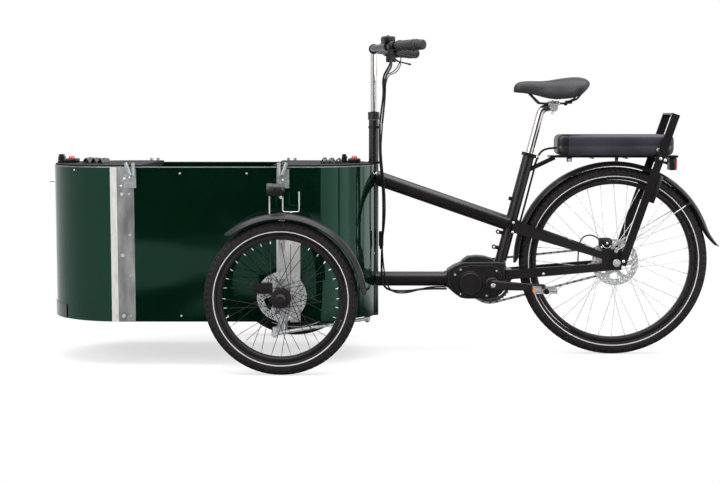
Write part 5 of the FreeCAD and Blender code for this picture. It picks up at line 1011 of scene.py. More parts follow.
def make_buckles():
    form = Form()
    collar = [(0.0114, -0.006), (0.0150, -0.006), (0.0150, -0.0006), (0.0140, 0.0)]
    collar += [(0.0122, 0.0), (0.0114, -0.0008)]
    layers = ((0.022, 0.046), (0.019, 0.040), (0.020, 0.043), (0.015, 0.034))
    for x in BUCKLES.values():
        for end in BOTH:
            cheek = (x, end * 0.0236, BOARD_TOP + 0.0073)
            form.block(cheek, (0.043, 0.0228, 0.0138), bevel=0.004, segments=3)
            form.block((x + end * 0.0166, 0, BOARD_TOP + 0.0073), (0.0100, 0.046, 0.0138), bevel=0.0025)
        form.block((x, 0, BOARD_TOP + 0.0035), (0.030, 0.046, 0.0060), bevel=0.001)
        form.lathe(Vector((x, 0, BOARD_TOP + 0.0143)), collar, 40, UP)
        for level, (length, width) in enumerate(layers):
            place = (x - 0.0335 - 0.0012 * (level % 2), 0, BOARD_TOP + 0.0043 + 0.0072 * level)
            form.block(place, (length, width, 0.0066), bevel=0.002)
    form.piece("buckle_cases", "frame", "black_plastic", PLASTIC)


def make_release_buttons():
    dome = [(0.0, 0.0140), (0.0040, 0.0136), (0.0076, 0.0121), (0.0099, 0.0094), (0.0109, 0.0060)]
    dome += [(0.0110, 0.0020), (0.0110, 0.0), (0.0, 0.0)]
    for place, x in BUCKLES.items():
        form = Form()
        form.lathe(Vector((x, 0, BOARD_TOP + 0.0103)), dome, 40, UP, closed=False)
        form.piece(place + "_release_dome", place + "_harness_button", "red_button", RED,
                   replaces=place + "_harness_button", angle=40)


# Drive

ARC_STEPS = 200
LINK_RADIUS = 0.0034
TOOTH_THICKNESS = 0.003


def chain_pins():
    """Places of the chain's pins along its closed pitch line."""
    big = pitch_radius(CHAINRING_TEETH)
    small = pitch_radius(SPROCKET_TEETH)
    run = REAR_AXLE - CRANK
    along = run.normalized()
    up = Vector((-along.z, 0, along.x))
    lean = math.asin((big - small) / run.length)
    path = []
    for centre, radius, start, sweep in ((CRANK, big, math.pi / 2 - lean, math.pi + 2 * lean),
                                         (REAR_AXLE, small, lean - math.pi / 2, math.pi - 2 * lean)):
        for step in range(ARC_STEPS + 1):
            turn = start + sweep * step / ARC_STEPS
            path.append(centre + (along * math.cos(turn) + up * math.sin(turn)) * radius)
    path.append(path[0])
    total = sum((b - a).length for a, b in zip(path, path[1:]))
    count = 2 * round(total / CHAIN_PITCH / 2)
    step = total / count
    pins = []
    covered = 0.0
    for a, b in zip(path, path[1:]):
        length = (b - a).length
        while len(pins) < count and len(pins) * step <= covered + length:
            pins.append(a.lerp(b, (len(pins) * step - covered) / length))
        covered += length
    return pins


def on_teeth(pin):
    """Whether a pin lies where teeth pass between the chain's plates."""
    wheels = ((CRANK, CHAINRING_TEETH), (REAR_AXLE, SPROCKET_TEETH))
    return any((pin - centre).length < pitch_radius(teeth) + 0.0065 for centre, teeth in wheels)


def link_plate(here, after, y):
    """The outline of a link, round at both of its pins."""
    along = (after - here).normalized()
    rise = along.cross(ACROSS)
    outline = []
    for end, turn in ((here, 1), (after, -1)):
        for step in range(5):
            angle = math.pi / 2 * turn + math.pi * step / 4
            reach = along * math.cos(angle) + rise * math.sin(angle)
            outline.append(Vector((end.x, y, end.z)) + reach * LINK_RADIUS)
    return outline


def make_chain():
    form = Form()
    pins = chain_pins()
    for index, (here, after) in enumerate(zip(pins, pins[1:] + pins[:1])):
        offset = 0.0033 if index % 2 else 0.0022
        for side in BOTH:
            rings = [link_plate(here, after, CHAIN_LINE + side * (offset + face)) for face in (0.0, 0.0007)]
            form.surface(rings, caps=True, mark=2 * (index % 2))
        spot = Vector((here.x, CHAIN_LINE, here.z))
        gap = 0.00165 if on_teeth(here) else 0.0
        for side in BOTH:
            form.rod(spot + ACROSS * side * gap, spot + ACROSS * side * 0.0022, 0.0029, 10, 1)
            form.rod(spot + ACROSS * side * gap, spot + ACROSS * side * 0.0040, 0.0013, 8, 1)
    form.piece("chain_links", "frame", "chain_steel", DARK_STEEL, STEEL, ALLOY, replaces="chain")


def toothed(teeth):
    """The outline of a chain wheel, its teeth low enough for the chain to lie still on them."""
    root = pitch_radius(teeth) - 0.0040
    flank = pitch_radius(teeth) - 0.0012
    tip = pitch_radius(teeth) + 0.0012
    tooth = ((0.0, root), (0.18, root + 0.0003), (0.34, flank), (0.46, tip), (0.54, tip), (0.66, flank))
    tooth += ((0.82, root + 0.0003),)
    outline = []
    for index in range(teeth):
        outline += [polar(radius, 2 * math.pi * (index + share) / teeth) for share, radius in tooth]
    return outline


def crank_heading(side):
    """From the crank's axle to the pedal of one side."""
    return upright(1, CRANK_ANGLE) * -side


def crank_arm(form, side):
    """An arm lofted over rows of (reach, half width, depth), with its cap and pedal spindle."""
    rows = [
        (-0.012, 0.004, 0.010), (-0.0110, 0.0085, 0.0118), (-0.006, 0.0155, 0.012),
        (0.0, 0.0175, 0.012), (0.014, 0.0168, 0.012), (0.040, 0.0150, 0.0112),
        (0.110, 0.0128, 0.0104), (0.150, 0.0120, 0.0104), (0.165, 0.0128, 0.0112),
        (0.174, 0.0124, 0.0114), (0.1805, 0.0080, 0.0108), (0.1820, 0.0030, 0.010),
    ]
    out = ACROSS * side
    along = crank_heading(side)
    rise = along.cross(out)
    rings = []
    for reach, half, deep in rows:
        inner = CRANK + along * reach + out * 0.074
        soft = half * 0.78
        outline = [(-half, 0.0), (-half, deep * 0.62), (-soft, deep * 0.95), (0.0, deep)]
        outline += [(soft, deep * 0.95), (half, deep * 0.62), (half, 0.0)]
        rings.append([inner + rise * a + out * b for a, b in outline])
    form.surface(rings, caps=True)
    cap = sided([(0.0, 0.0004), (0.0050, 0.0004), (0.0072, 0.0), (0.0084, -0.0012)], side)
    form.lathe(CRANK + out * 0.086, cap, 24, mark=2, closed=False)
    spindle = CRANK + along * CRANK_LENGTH
    form.rod(spindle + out * 0.080, spindle + out * 0.1835, 0.0048, 16, 1)
    form.rod(spindle + out * 0.085, spindle + out * 0.0905, 0.0078, 6, 1)


def make_crank_set():
    form = Form()
    outlines = [toothed(CHAINRING_TEETH), circle(0.0123, 32)]
    outlines += arm_windows(5, (0.062, 12, 48), (0.028, 20, 32))
    form.plate(outlines, TOOTH_THICKNESS, upright_plane(CRANK + ACROSS * CHAIN_LINE), 0.0004, mark=1)
    form.rod(CRANK - ACROSS * 0.0745, CRANK + ACROSS * 0.0745, 0.0118, 28, 1)
    for side in SIDES.values():
        crank_arm(form, side)
    form.piece("crank_arms", "crank", "crank_black", BLACK_ALLOY, DARK_STEEL, STEEL, replaces="crank_set")


def make_sprocket():
    form = Form()
    outlines = [toothed(SPROCKET_TEETH), circle(0.0055, 24)]
    outlines += [circle(0.0055, 16, *polar(0.0285, turn)) for turn in turns(8)]
    form.plate(outlines, TOOTH_THICKNESS, upright_plane(REAR_AXLE + ACROSS * CHAIN_LINE), 0.0004)
    sleeve = [(0.0055, 0.0383), (0.0185, 0.0383), (0.0198, 0.0395), (0.0198, 0.0560), (0.0185, 0.0575)]
    sleeve += [(0.0150, 0.0582), (0.0150, 0.0597), (0.0055, 0.0597)]
    form.lathe(REAR_AXLE, sleeve, 48, closed=False, mark=1)
    form.piece("toothed_sprocket", "rear_sprocket", "chain_steel", DARK_STEEL, STEEL,
               replaces="rear_sprocket", angle=30)


def make_pedal(name, side):
    """A cage with two serrated plates, rails, reflectors and a core on the spindle."""
    middle = CRANK + crank_heading(side) * CRANK_LENGTH + ACROSS * side * 0.138
    teeth = [(-0.046 + 0.092 * step / 16, 0.0100 if step % 2 else 0.0076) for step in range(17)]
    serrated = teeth + [(y, -h) for y, h in reversed(teeth)]
    facing = Matrix(((0, 0, 1), (1, 0, 0), (0, 1, 0))).to_4x4()
    form = Form()
    for end in BOTH:
        ahead = Vector((end, 0, 0))
        form.plate([serrated], 0.0026, Matrix.Translation(middle + ahead * 0.0355) @ facing, 0.0004)
        for rail in BOTH:
            place = middle + ACROSS * end * 0.0445 + UP * rail * 0.0055
            form.block(place, (0.071, 0.0026, 0.0040), bevel=0.001)
        form.block(middle + ACROSS * end * 0.0280, (0.069, 0.0026, 0.010), bevel=0.0008)
        form.block(middle + ahead * 0.0380, (0.0030, 0.056, 0.0135), bevel=0.0008, mark=1)
    core = [(0.0054, -0.0458), (0.0085, -0.0458), (0.0095, -0.0440), (0.0095, -0.0300), (0.0080, -0.0260)]
    form.lathe(middle, both_ways(core), 32, mark=2)
    cap = sided([(0.0, 0.0012), (0.0066, 0.0012), (0.0092, 0.0006), (0.0094, 0.0)], side)
    form.lathe(middle + ACROSS * side * 0.0455, cap, 24, mark=2, closed=False)
    form.piece(name + "_pedal_cage", name + "_pedal", "pedal", ALLOY, AMBER, PLASTIC,
               replaces=name + "_pedal")


MOTOR_FACE_Y = -0.046
MOTOR_COVER = Vector((0.297, MOTOR_FACE_Y, 0.249))


def motor_plate(form, outlines, thickness, y, edge, mark=0):
    form.plate(outlines, thickness, upright_plane(ACROSS * y), edge, mark)


def motor_cover(form):
    """The round cover on the left, with a ring about it."""
    cover = [(0.0, -0.0080), (0.0300, -0.0080), (0.0375, -0.0072), (0.0400, -0.0050)]
    cover += [(0.0410, -0.0020), (0.0410, 0.0010)]
    ring = [(0.0425, 0.0010), (0.0425, -0.0016), (0.0437, -0.0022), (0.0448, -0.0010), (0.0448, 0.0010)]
    form.lathe(MOTOR_COVER, cover, 64, mark=1, closed=False)
    form.lathe(MOTOR_COVER, ring, 64, closed=False)


def motor_details(form):
    """Bosses at the crank's axle, screws, and fine upright ribs on the round cover."""
    boss = [(0.0128, 0.004), (0.0200, 0.004), (0.0225, 0.002), (0.0235, -0.002)]
    for side, y in ((-1, MOTOR_FACE_Y), (1, 0.0375)):
        form.lathe(CRANK + ACROSS * y, sided(boss, side), 48, closed=False)
    head = [(0.0, -0.0014), (0.0028, -0.0014), (0.0034, -0.0008), (0.0034, 0.001)]
    screws = [(0.243, 0.281), (0.262, 0.2985), (0.386, 0.294), (0.396, 0.236)]
    screws += [(0.262, 0.2135), (0.352, 0.2085)]
    for x, z in screws:
        form.lathe(Vector((x, MOTOR_FACE_Y, z)), head, 16, mark=2, closed=False)
    for step in range(9):
        x = 0.2745 + 0.0056 * step
        reach = math.sqrt(0.033 ** 2 - (x - MOTOR_COVER.x) ** 2)
        form.block((x, -0.0541, MOTOR_COVER.z), (0.0011, 0.0006, 2 * reach))


def make_motor():
    form = Form()
    spine = [(0.216, 0.237), (0.216, 0.291), (0.2185, 0.2965), (0.240, 0.3110), (0.262, 0.3205)]
    spine += [(0.275, 0.3240)]
    spine += [(0.400, 0.3250), (0.4190, 0.3225), (0.4190, 0.240), (0.4150, 0.226), (0.4020, 0.2120)]
    spine += [(0.3850, 0.2010), (0.3650, 0.1965), (0.285, 0.1960), (0.2650, 0.1990), (0.2450, 0.2120)]
    face = [(0.236, 0.236), (0.230, 0.262), (0.238, 0.292), (0.262, 0.309), (0.300, 0.3145), (0.365, 0.3145)]
    face += [(0.388, 0.306), (0.404, 0.284), (0.4085, 0.252), (0.400, 0.228), (0.376, 0.2085)]
    face += [(0.330, 0.2025), (0.280, 0.2040), (0.252, 0.216)]
    lump = [(0.262, 0.320), (0.270, 0.3300), (0.288, 0.3420), (0.318, 0.3450), (0.345, 0.3430)]
    lump += [(0.372, 0.3350), (0.386, 0.322)]
    hole = circle(0.0128, 32, CRANK.x, CRANK.z)
    inset = 0.97
    right_face = [(0.325 + (x - 0.325) * inset, 0.262 + (z - 0.262) * inset) for x, z in face]
    motor_plate(form, [spine, hole], 0.066, -0.004, 0.006)
    motor_plate(form, [face, hole], 0.010, -0.041, 0.003, 1)
    motor_plate(form, [right_face, hole], 0.008, 0.0335, 0.003, 1)
    motor_cover(form)
    motor_details(form)
    motor_plate(form, [lump], 0.048, -0.003, 0.005)
    form.piece("motor_case", "frame", "black_plastic", CASE, PLASTIC, ZINC,
               replaces="motor_housing", angle=30)


# Battery, tail light and calliper

BATTERY_LOW = 0.692
BATTERY_HALF = 0.065
BATTERY_HEIGHT = 0.072
BATTERY_FRONT_X = 0.589
BATTERY_REAR_X = 0.986
BATTERY_SEAM = ((0.0, 0.0), (0.0006, 0.0012), (0.0018, 0.0012), (0.0024, 0.0))


def grooved(y, z, limit, depth, middle, width):
    """Draws a side in along a soft groove, where it lies further out than the limit."""
    if abs(y) > limit:
        y -= math.copysign(depth * math.exp(-((z - middle) / width) ** 2), y)
    return y, z


def battery_section():
    """A rounded rectangle in steps of about 4 mm, with a soft groove along each side."""
    rectangle = rounded_rectangle(BATTERY_HALF, BATTERY_HEIGHT, 0.017)
    corners = [grooved(y, z, 0.05, 0.0022, 0.034, 0.007) for y, z in rectangle]
    section = []
    for (y0, z0), (y1, z1) in zip(corners, corners[1:] + corners[:1]):
        pieces = max(1, round(math.hypot(y1 - y0, z1 - z0) / 0.004))
        for piece in range(pieces):
            y = y0 + (y1 - y0) * piece / pieces
            z = z0 + (z1 - z0) * piece / pieces
            section.append(grooved(y, z, 0.058, 0.0024, 0.033, 0.0065))
    return section


def make_battery():
    form = Form()
    section = battery_section()
    middle = BATTERY_HEIGHT / 2

    def ring(x, shrink):
        width = 1 - shrink / BATTERY_HALF
        height = 1 - shrink / middle
        return [Vector((x, y * width, BATTERY_LOW + middle + (z - middle) * height)) for y, z in section]

    def seam(x):
        return [ring(x + along, shrink) for along, shrink in BATTERY_SEAM]

    ends = [(0.0, 0.016), (0.002, 0.0095), (0.006, 0.0050), (0.012, 0.0018), (0.020, 0.0003), (0.0335, 0.0)]
    front = [ring(BATTERY_FRONT_X + x, shrink) for x, shrink in ends] + seam(0.6230)
    rear = seam(0.9496) + [ring(BATTERY_REAR_X - x, shrink) for x, shrink in reversed(ends)]
    form.surface(front, mark=1)
    form.surface([front[-1], rear[0]])
    form.surface(rear, mark=1)
    count = len(section)
    form.faces.append(tuple(reversed(range(count))))
    form.faces.append(tuple(range(len(form.verts) - count, len(form.verts))))
    form.marks += [1, 1]
    lock = [(0.0, -0.0010), (0.0045, -0.0010), (0.0058, -0.0002), (0.0058, 0.003)]
    form.lathe(Vector((0.930, -0.0648, 0.712)), lock, 24, mark=2, closed=False)
    form.piece("battery_shell", "frame", "black_plastic", BATTERY, CASE, ZINC, replaces="battery_case")


def make_tail_light():
    form = Form()
    form.block((0.989, 0, 0.662), (0.020, 0.0555, 0.0435), bevel=0.005, segments=3)
    form.block((0.983, 0, 0.681), (0.010, 0.030, 0.006), bevel=0.0015)
    rings = []
    for x, shrink in ((0.9985, 0.0005), (1.0005, 0.0), (1.0030, 0.0012), (1.0045, 0.0040), (1.0050, 0.0090)):
        outline = rounded_rectangle(0.0275 - shrink, 0.0430 - 2 * shrink, 0.009 - shrink * 0.6)
        rings.append([Vector((x, y, 0.6405 + shrink + z)) for y, z in outline])
    form.surface(rings, caps=True, mark=1)
    form.piece("tail_lamp", "frame", "lamp", CASE, LENS, replaces="tail_light")


def make_rear_calliper():
    form = Form()
    middle = Vector((0.7565, 0, 0.391))
    pivot = middle + Vector((0.004, 0, 0.002))
    for y, deep in ((-0.0604, 0.0105), (-0.0452, 0.0078)):
        form.block((middle.x, y, middle.z), (0.0425, deep, 0.0372), bevel=0.009, segments=4)
    form.block(middle + Vector((-0.0165, -0.0520, 0.0125)), (0.0090, 0.0200, 0.0115), bevel=0.002)
    barrel = [(0.0, -0.0065), (0.0085, -0.0065), (0.0112, -0.0050), (0.0118, -0.0030), (0.0118, 0.002)]
    form.lathe(pivot - ACROSS * 0.0640, barrel, 32, closed=False)
    arm = [pivot - ACROSS * 0.0685, middle + Vector((-0.008, -0.0680, 0.012))]
    arm += [middle + Vector((-0.0185, -0.0640, 0.0135))]
    form.pipe(arm, 0.0034, 10)
    spring = [pivot + upright(0.0165, math.radians(200 + 9 * step), -0.0672) for step in range(15)]
    form.pipe(spring, 0.0012, 8, 1)
    for x, z in ((-0.014, -0.012), (0.0155, -0.010)):
        form.bolt_head(middle + Vector((x, -0.0656, z)), -ACROSS, 0.0036, 1)
    form.bolt_head(pivot - ACROSS * 0.0704, -ACROSS, 0.0042, 1)
    form.piece("rear_calliper_body", "frame", "black_plastic", BLACK_ALLOY, STEEL, replaces="rear_calliper")


# Small fittings on the frame and the box

HOOP_FOOT = Vector((0.816, 0, 0.331))
HOOP_HEAD = Vector((0.982, 0, 0.820))


def hoop_fittings(form, out):
    """Bolts, lug and gusset on one leg of the carrier hoop, and the nut of the rear axle."""
    leg = (HOOP_HEAD - HOOP_FOOT).normalized()
    rear = Vector((leg.z, 0, -leg.x))
    basis = axes(rear, ACROSS, leg)

    def on_leg(share, behind, outward):
        return HOOP_FOOT.lerp(HOOP_HEAD, share) + rear * behind + out * outward

    for share, behind in ((0.0, 0.0), (0.718, 0.001), (0.718, 0.0175)):
        form.bolt_head(on_leg(share, behind, 0.0780), out, 0.0056, 1)
    form.block(on_leg(0.718, 0.0165, 0.0755), (0.026, 0.005, 0.024), basis, 0.0022)
    form.block(on_leg(0.520, 0.0215, 0.0690), (0.022, 0.008, 0.098), basis, 0.003)
    place = REAR_AXLE + out * 0.0838
    nut = [(0.0, 0.0090), (0.0052, 0.0088), (0.0056, 0.0066), (0.0098, 0.0062)]
    nut += [(0.0104, 0.0052), (0.0104, 0.0)]
    washer = [(0.0, 0.0016), (0.0128, 0.0016), (0.0134, 0.0008), (0.0134, -0.0005)]
    form.lathe(place, nut, 6, out, 1, closed=False)
    form.lathe(place, washer, 32, out, 1, closed=False)


def rack_fittings(form):
    """The lug with its bolt and the two ties of the rack rail."""
    form.block((0.633, -0.028, 0.6780), (0.018, 0.012, 0.0160), bevel=0.003)
    form.bolt_head((0.633, -0.034, 0.6765), -ACROSS, 0.0060, 1)
    for x in (0.7135, 0.830):
        form.block((x, 0, 0.6858), (0.0045, 0.0735, 0.0125), bevel=0.001)


def column_fittings(form):
    """The clamp bolt with its two nuts, and a bolt further down."""
    y, z = -0.0200, 0.628
    form.rod((-0.066, y, z), (-0.027, y, z), 0.0034, 14, 1)
    for x in (-0.064, -0.029):
        form.rod((x - 0.0025, y, z), (x + 0.0025, y, z), 0.0058, 6, 1)
    form.bolt_head((-0.040, -0.0168, 0.352), -ACROSS, 0.0070, 1)


def seat_tube_guides(form):
    front = Vector((-SEAT_AXIS.z, 0, SEAT_AXIS.x))
    basis = axes(front, ACROSS, SEAT_AXIS)
    loop = both_ways([(0.0036, -0.0045), (0.0070, -0.0045), (0.0079, -0.0032)])
    for height, ringed in ((0.218, False), (0.096, True), (0.042, True)):
        spot = SEAT_FOOT + SEAT_AXIS * height
        form.block(spot + front * 0.0235, (0.012, 0.009, 0.013), basis, 0.002)
        if ringed:
            form.lathe(spot + front * 0.0345, loop, 28)


def make_frame_hardware():
    form = Form()
    for side in SIDES.values():
        hoop_fittings(form, ACROSS * side)
    for spot in ((0.547, -0.0491, 0.285), (0.4430, -0.0400, 0.461), (0.4400, -0.0400, 0.428)):
        form.bolt_head(spot, -ACROSS, 0.0046, 1)
    rack_fittings(form)
    column_fittings(form)
    seat_tube_guides(form)
    form.piece("frame_hardware", "frame", "frame_black", FRAME_BLACK, STEEL)


def make_painted_rim_highlight():
    """A pale rounded edge along the top of the panels, open at the column: a painted highlight where the
    sheet's edge catches the light.
    """
    profile = [(-0.0030, 0.6588), (-0.0030, 0.6600), (-0.0012, 0.6607), (0.0003, 0.6603)]
    profile += [(0.0009, 0.6594), (0.0009, 0.6580), (0.0003, 0.6573), (-0.0005, 0.6573)]
    rings = []
    bends = ((BOX_REAR_X, 6, 84, 24), (BOX_FRONT_X, 90, 180, 48), (BOX_REAR_X, 270, 84, 24))
    for x, start, sweep, steps in bends:
        for step in range(steps + 1):
            turn = math.radians(start + sweep * step / steps)
            out = Vector((math.cos(turn), math.sin(turn), 0))
            rings.append([Vector((x, 0, z)) + out * (BOX_HALF + proud) for proud, z in profile])
    form = Form()
    form.surface(rings, caps=True)
    form.piece("painted_rim_highlight", "frame", "strip_metal", PAINTED_EDGE_HIGHLIGHT, angle=50)


def make_box_hardware():
    """Bolts beside the canopy brackets and rivets high on the nose."""
    form = Form()
    bolts = [(-0.8555, 0.007, 0.6215), (-0.8670, 0.003, 0.5975)]
    bolts += [(-0.8375, 0.007, 0.6260), (-0.3355, 0.007, 0.6170)]
    for side in SIDES.values():
        for x, proud, z in bolts:
            form.bolt_head((x, side * (BOX_HALF + proud), z), ACROSS * side, 0.0042)
        lean = Vector((-0.150, side * 0.2062, 0))
        form.bolt_head(Vector((BOX_FRONT_X, 0, 0.6480)) + lean, lean.normalized(), 0.0030)
    form.piece("box_hardware", "frame", "fitting_steel", STEEL)


# Cables

CABLE_Y = -0.031
CLIP_HEIGHTS = (0.788, 0.667)


def route_curve(name, points, radius):
    """A cable along a smooth line through its route's points."""
    data = bpy.data.curves.new(name, "CURVE")
    data.dimensions = "3D"
    data.bevel_depth = radius
    data.bevel_resolution = 4
    data.resolution_u = 16
    data.use_fill_caps = True
    spline = data.splines.new("NURBS")
    spline.points.add(len(points) - 1)
    for target, place in zip(spline.points, points):
        target.co = (*place, 1)
    spline.order_u = 3
    spline.use_endpoint_u = True
    data.materials.append(CABLE)
    made = bpy.data.objects.new(name, data)
    bpy.context.collection.objects.link(made)
    return made


def frame_cable(name, points, radius):
    """A cable that stays still on the frame."""
    made = route_curve(name, points, radius)
    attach(made, "frame")
    return made


def make_frame_cables():
    y = CABLE_Y
    column = [(-0.0170, y, 0.800), (-0.0175, y, 0.720), (-0.0150, y, 0.660), (-0.0065, y, 0.590)]
    column += [(-0.0045, y, 0.500), (-0.0065, y, 0.420), (-0.0110, y, 0.330), (-0.0090, y, 0.252)]
    column += [(0.0090, y, 0.2275), (0.0450, y, 0.2225), (0.0900, y, 0.2235), (0.1400, y, 0.2320)]
    column += [(0.2157, y, 0.2310)]
    made = frame_cable("column_cable", column, 0.0037)
    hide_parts("frame_cables")
    beside = y - 0.0068
    hose = [(-0.0087, y, 0.8000), (-0.0100, y - 0.002, 0.770), (-0.0140, beside, 0.715)]
    hose += [(-0.0085, beside, 0.650), (0.0010, beside, 0.560), (0.0015, beside, 0.470)]
    hose += [(-0.0095, beside, 0.390), (-0.0045, beside, 0.310), (0.0065, beside, 0.246)]
    hose += [(0.0300, beside, 0.2180), (0.0750, beside, 0.2160), (0.1200, beside, 0.2290)]
    hose += [(0.1650, y, 0.2390), (0.2150, y, 0.2383)]
    frame_cable("column_hose", hose, 0.0026)
    battery = [(0.5895, -0.004, 0.7165), (0.5700, -0.004, 0.7165), (0.5430, -0.004, 0.7090)]
    battery += [(0.5280, -0.004, 0.6880), (0.5190, -0.004, 0.6610)]
    frame_cable("battery_cable", battery, 0.0037)
    tube = [(0.5190, -0.004, 0.6620), (0.5160, -0.005, 0.6420), (0.5045, -0.006, 0.6000)]
    tube += [(0.4900, -0.006, 0.5400), (0.4715, -0.006, 0.4700), (0.4640, -0.006, 0.4420)]
    frame_cable("seat_tube_cable", tube, 0.0036)
    brake = [(0.6640, -0.050, 0.3120), (0.6650, -0.050, 0.3500), (0.6670, -0.050, 0.3880)]
    brake += [(0.6800, -0.050, 0.4140), (0.7060, -0.051, 0.4210), (0.7280, -0.052, 0.4120)]
    brake += [(0.7395, -0.0525, 0.4020)]
    frame_cable("rear_brake_hose", brake, 0.0024)


def make_cable_clips():
    form = Form()
    along = Vector((0.024, CABLE_Y, 0)).normalized()
    basis = axes(along, UP.cross(along), UP)
    for z in CLIP_HEIGHTS:
        middle = Vector((COLUMN_X, 0, z))
        form.lathe(middle, both_ways([(0.0173, -0.004), (0.0188, -0.004)]), 40, UP)
        form.block(middle + along * 0.0262, (0.016, 0.007, 0.0078), basis, 0.0012)
    plug = Vector((-0.012, CABLE_Y, 0.405))
    form.block(plug, (0.0165, 0.0115, 0.052), bevel=0.003, segments=3)
    form.block(plug - UP * 0.030, (0.0110, 0.0095, 0.012), bevel=0.002)
    form.piece("cable_clips", "frame", "black_plastic", PLASTIC)


def bar_cable(name, route, radius):
    """A cable from the turning handlebar to the column, skinned as a mesh along its route."""
    curve = route_curve(name + "_route", route, radius)
    skin = bpy.data.meshes.new_from_object(curve.evaluated_get(bpy.context.evaluated_depsgraph_get()))
    curve.data.bevel_depth = 0
    line = bpy.data.meshes.new_from_object(curve.evaluated_get(bpy.context.evaluated_depsgraph_get()))
    bpy.data.objects.remove(curve)
    made = bpy.data.objects.new(name, skin)
    bpy.context.collection.objects.link(made)
    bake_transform(made)
    return made


def make_handlebar_cables():
    for name, side in SIDES.items():
        drop = -0.014 if side < 0 else -0.0057
        belly = 0.0100 if side < 0 else 0.0070
        knee = Vector((0.024, side * 0.210, 1.0306))
        middle = Vector((drop + 0.030, side * 0.070 + CABLE_Y, 0.9953))
        low = Vector((drop, CABLE_Y, 0.960))
        end = Vector((drop, CABLE_Y, 0.8003))
        bulge = low.lerp(end, 0.35)
        route = [knee, knee.lerp(middle, 0.5) + UP * 0.004, middle, low + Vector((0.0060, 0, 0))]
        route += [bulge + Vector((belly, 0, 0)), low.lerp(end, 0.72) + Vector((0.0020, 0, 0))]
        route += [end + Vector((-0.0030, 0, 0))]
        made = bar_cable(name + "_bar_cable", route, 0.0034)
        if name == "left":
            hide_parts("handlebar_cables")
        wire = [knee + Vector((0.012, side * 0.012, 0.002)), knee + Vector((0.030, -side * 0.040, -0.012))]
        wire += [middle + Vector((0.034, side * 0.040, 0.012))]
        wire += [middle + Vector((0.018, side * 0.010, -0.020))]
        wire += [low + Vector((0.0080, -0.0052, 0.004)), bulge + Vector((belly, -0.0048, 0))]
        bar_cable(name + "_switch_wire", wire, 0.0018)


# Every piece in turn

make_wheels()
for side_name, side in SIDES.items():
    make_front_guard(side_name, side)
    make_lamp(side_name, side)
    make_lamp_wires(side_name, side)
make_rear_guard()
make_rear_guard_wires()
make_saddle()
make_seat_post()
make_saddle_clamp()
make_saddle_rails()
make_grips()
make_controls()
make_assist_button()
for side_name, side in SIDES.items():
    make_brake_lever(side_name, side)
make_webbing()
make_buckles()
make_release_buttons()
make_chain()
make_crank_set()
make_sprocket()
for side_name, side in SIDES.items():
    make_pedal(side_name, side)
make_motor()
make_battery()
make_tail_light()
make_rear_calliper()
make_frame_hardware()
make_painted_rim_highlight()
make_box_hardware()
make_frame_cables()
make_cable_clips()
make_handlebar_cables()

# Studio


def studio_floor():
    """White paper with soft shadows near the object, plain white beyond, that ends for reflections."""
    shader = Shader("studio_floor")
    rays = shader.add("LightPath").outputs
    paper = shader.add("BsdfDiffuse")
    grain = shader.ramp(shader.noise(30, 2.0), (0.93, 0.93, 0.93), (0.95, 0.95, 0.95))
    shader.join(grain, paper.inputs["Color"])
    dim = shader.add("BsdfDiffuse", Color=(0.06, 0.06, 0.06, 1))
    clear = shader.add("BsdfTransparent")
    white = shader.add("Emission", Color=(1, 1, 1, 1), Strength=1.0)
    length = shader.add("VectorMath", operation="LENGTH")
    shader.join(shader.stretched((0.62, 1.0, 1.0)), length.inputs[0])
    reach = length.outputs["Value"]
    fade = shader.spread(reach, 0.66, 1.0, 0.55, 1.05, "SMOOTHSTEP")
    shown = shader.math("MULTIPLY", fade, rays["Is Camera Ray"])
    edge = shader.mix(shader.spread(reach, 0.0, 1.0, 0.8, 1.3), dim.outputs["BSDF"], clear.outputs["BSDF"])
    mirrored = shader.mix(rays["Is Glossy Ray"], paper.outputs["BSDF"], edge)
    whole = shader.mix(shown, mirrored, white.outputs["Emission"])
    shader.join(whole, shader.tree.nodes["Material Output"].inputs["Surface"])
    return shader.material


def make_floor():
    mesh = bpy.data.meshes.new("floor")
    edit = bmesh.new()
    bmesh.ops.create_grid(edit, x_segments=1, y_segments=1, size=40)
    edit.to_mesh(mesh)
    edit.free()
    mesh.materials.append(studio_floor())
    floor = bpy.data.objects.new("floor", mesh)
    bpy.context.collection.objects.link(floor)


# Brightness of the light cards that reflections show, by place from the nose side to the rear side
CARD_ENDS = 0.85
CARDS = ((0.374, 0.95), (0.404, 0.02), (0.60, 0.02), (0.768, 0.03), (0.776, 1.02), (0.860, 1.22),
         (0.938, 1.65), (0.942, 0.30), (0.950, 0.30), (0.954, 1.45), (0.990, 1.80))


def light_cards(sky, x):
    cards = sky.add("ValToRGB")
    stops = cards.color_ramp.elements
    for stop in stops:
        stop.color = (CARD_ENDS, CARD_ENDS, CARD_ENDS, 1)
    for place, grey in CARDS:
        stops.new(place).color = (grey, grey, grey, 1)
    sky.join(sky.spread(x, 0.0, 1.0, -1.0), cards.inputs["Fac"])
    return cards.outputs["Color"]


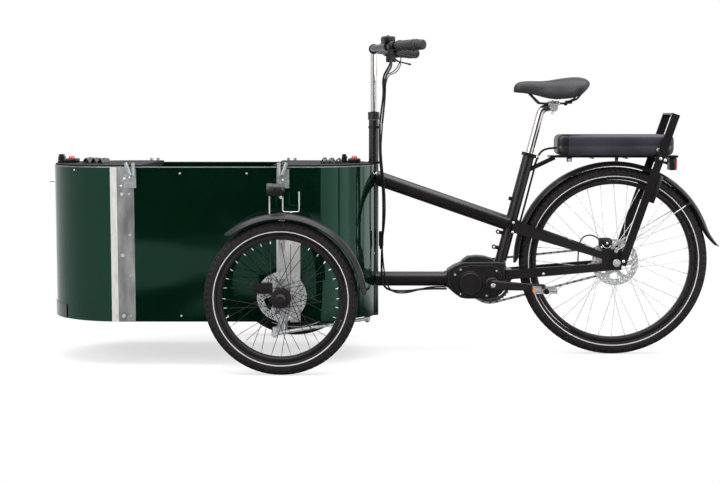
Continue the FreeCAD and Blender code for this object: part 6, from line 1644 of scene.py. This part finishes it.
def make_world():
    """Even light, white for the camera, and cards, backdrop and lit floor for reflections."""
    world = bpy.data.worlds.new("studio")
    bpy.context.scene.world = world
    world.use_nodes = True
    sky = Tree(world.node_tree)
    rays = sky.add("LightPath").outputs
    sides = sky.split(sky.add("TexCoord").outputs["Generated"])
    above = sky.spread(sides["Z"], 0.0, 0.9, 0.40, 0.85)
    behind = sky.spread(sides["Y"], 0.0, 0.9, 0.05, 0.45)
    lit_floor = sky.math("MULTIPLY", sky.spread(sides["Z"], 0.0, 1.0, -0.136, -0.122, "SMOOTHSTEP"),
                         sky.spread(sides["Z"], 0.66, 0.0, -0.089, -0.078, "SMOOTHSTEP"))
    around = sky.math("MAXIMUM", sky.math("MAXIMUM", behind, above), lit_floor)
    plain = sky.tree.nodes["Background"]
    plain.inputs["Color"].default_value = (0.80, 0.81, 0.82, 1)
    plain.inputs["Strength"].default_value = 0.55
    mirrored = sky.add("Background", Color=(0.95, 0.98, 1.0, 1))
    sky.join(sky.math("MAXIMUM", light_cards(sky, sides["X"]), around), mirrored.inputs["Strength"])
    bright = sky.add("Background", Color=(1, 1, 1, 1), Strength=1.0)
    lit = sky.mix(rays["Is Glossy Ray"], plain.outputs["Background"], mirrored.outputs["Background"])
    chosen = sky.mix(rays["Is Camera Ray"], lit, bright.outputs["Background"])
    sky.join(chosen, sky.tree.nodes["World Output"].inputs["Surface"])


def softbox(name, place, target, width, height, power):
    light = bpy.data.lights.new(name, "AREA")
    light.shape = "RECTANGLE"
    light.size = width
    light.size_y = height
    light.energy = power
    lamp = bpy.data.objects.new(name, light)
    lamp.location = place
    lamp.rotation_euler = (Vector(target) - Vector(place)).to_track_quat("-Z", "Y").to_euler()
    bpy.context.collection.objects.link(lamp)


def make_camera():
    """The photograph's view, looking down a little from the left side."""
    data = bpy.data.cameras.new("camera")
    data.lens = 69.15
    data.sensor_width = 36.0
    camera = bpy.data.objects.new("camera", data)
    camera.location = (-0.0455, -4.786, 0.8275)
    camera.rotation_euler = (math.radians(90 - 5.2), 0, math.radians(0.475))
    bpy.context.collection.objects.link(camera)
    bpy.context.scene.camera = camera


make_floor()
make_world()
softbox("overhead", (0, -0.4, 4.2), (0, 0, 0), 6.0, 4.0, 330)
softbox("key", (-3.2, -3.4, 2.8), (-0.2, 0, 0.4), 1.8, 2.2, 110)
softbox("fill", (3.6, -3.0, 2.0), (0.3, 0, 0.4), 1.8, 2.2, 70)
make_camera()
bpy.context.scene.view_settings.view_transform = "Standard"
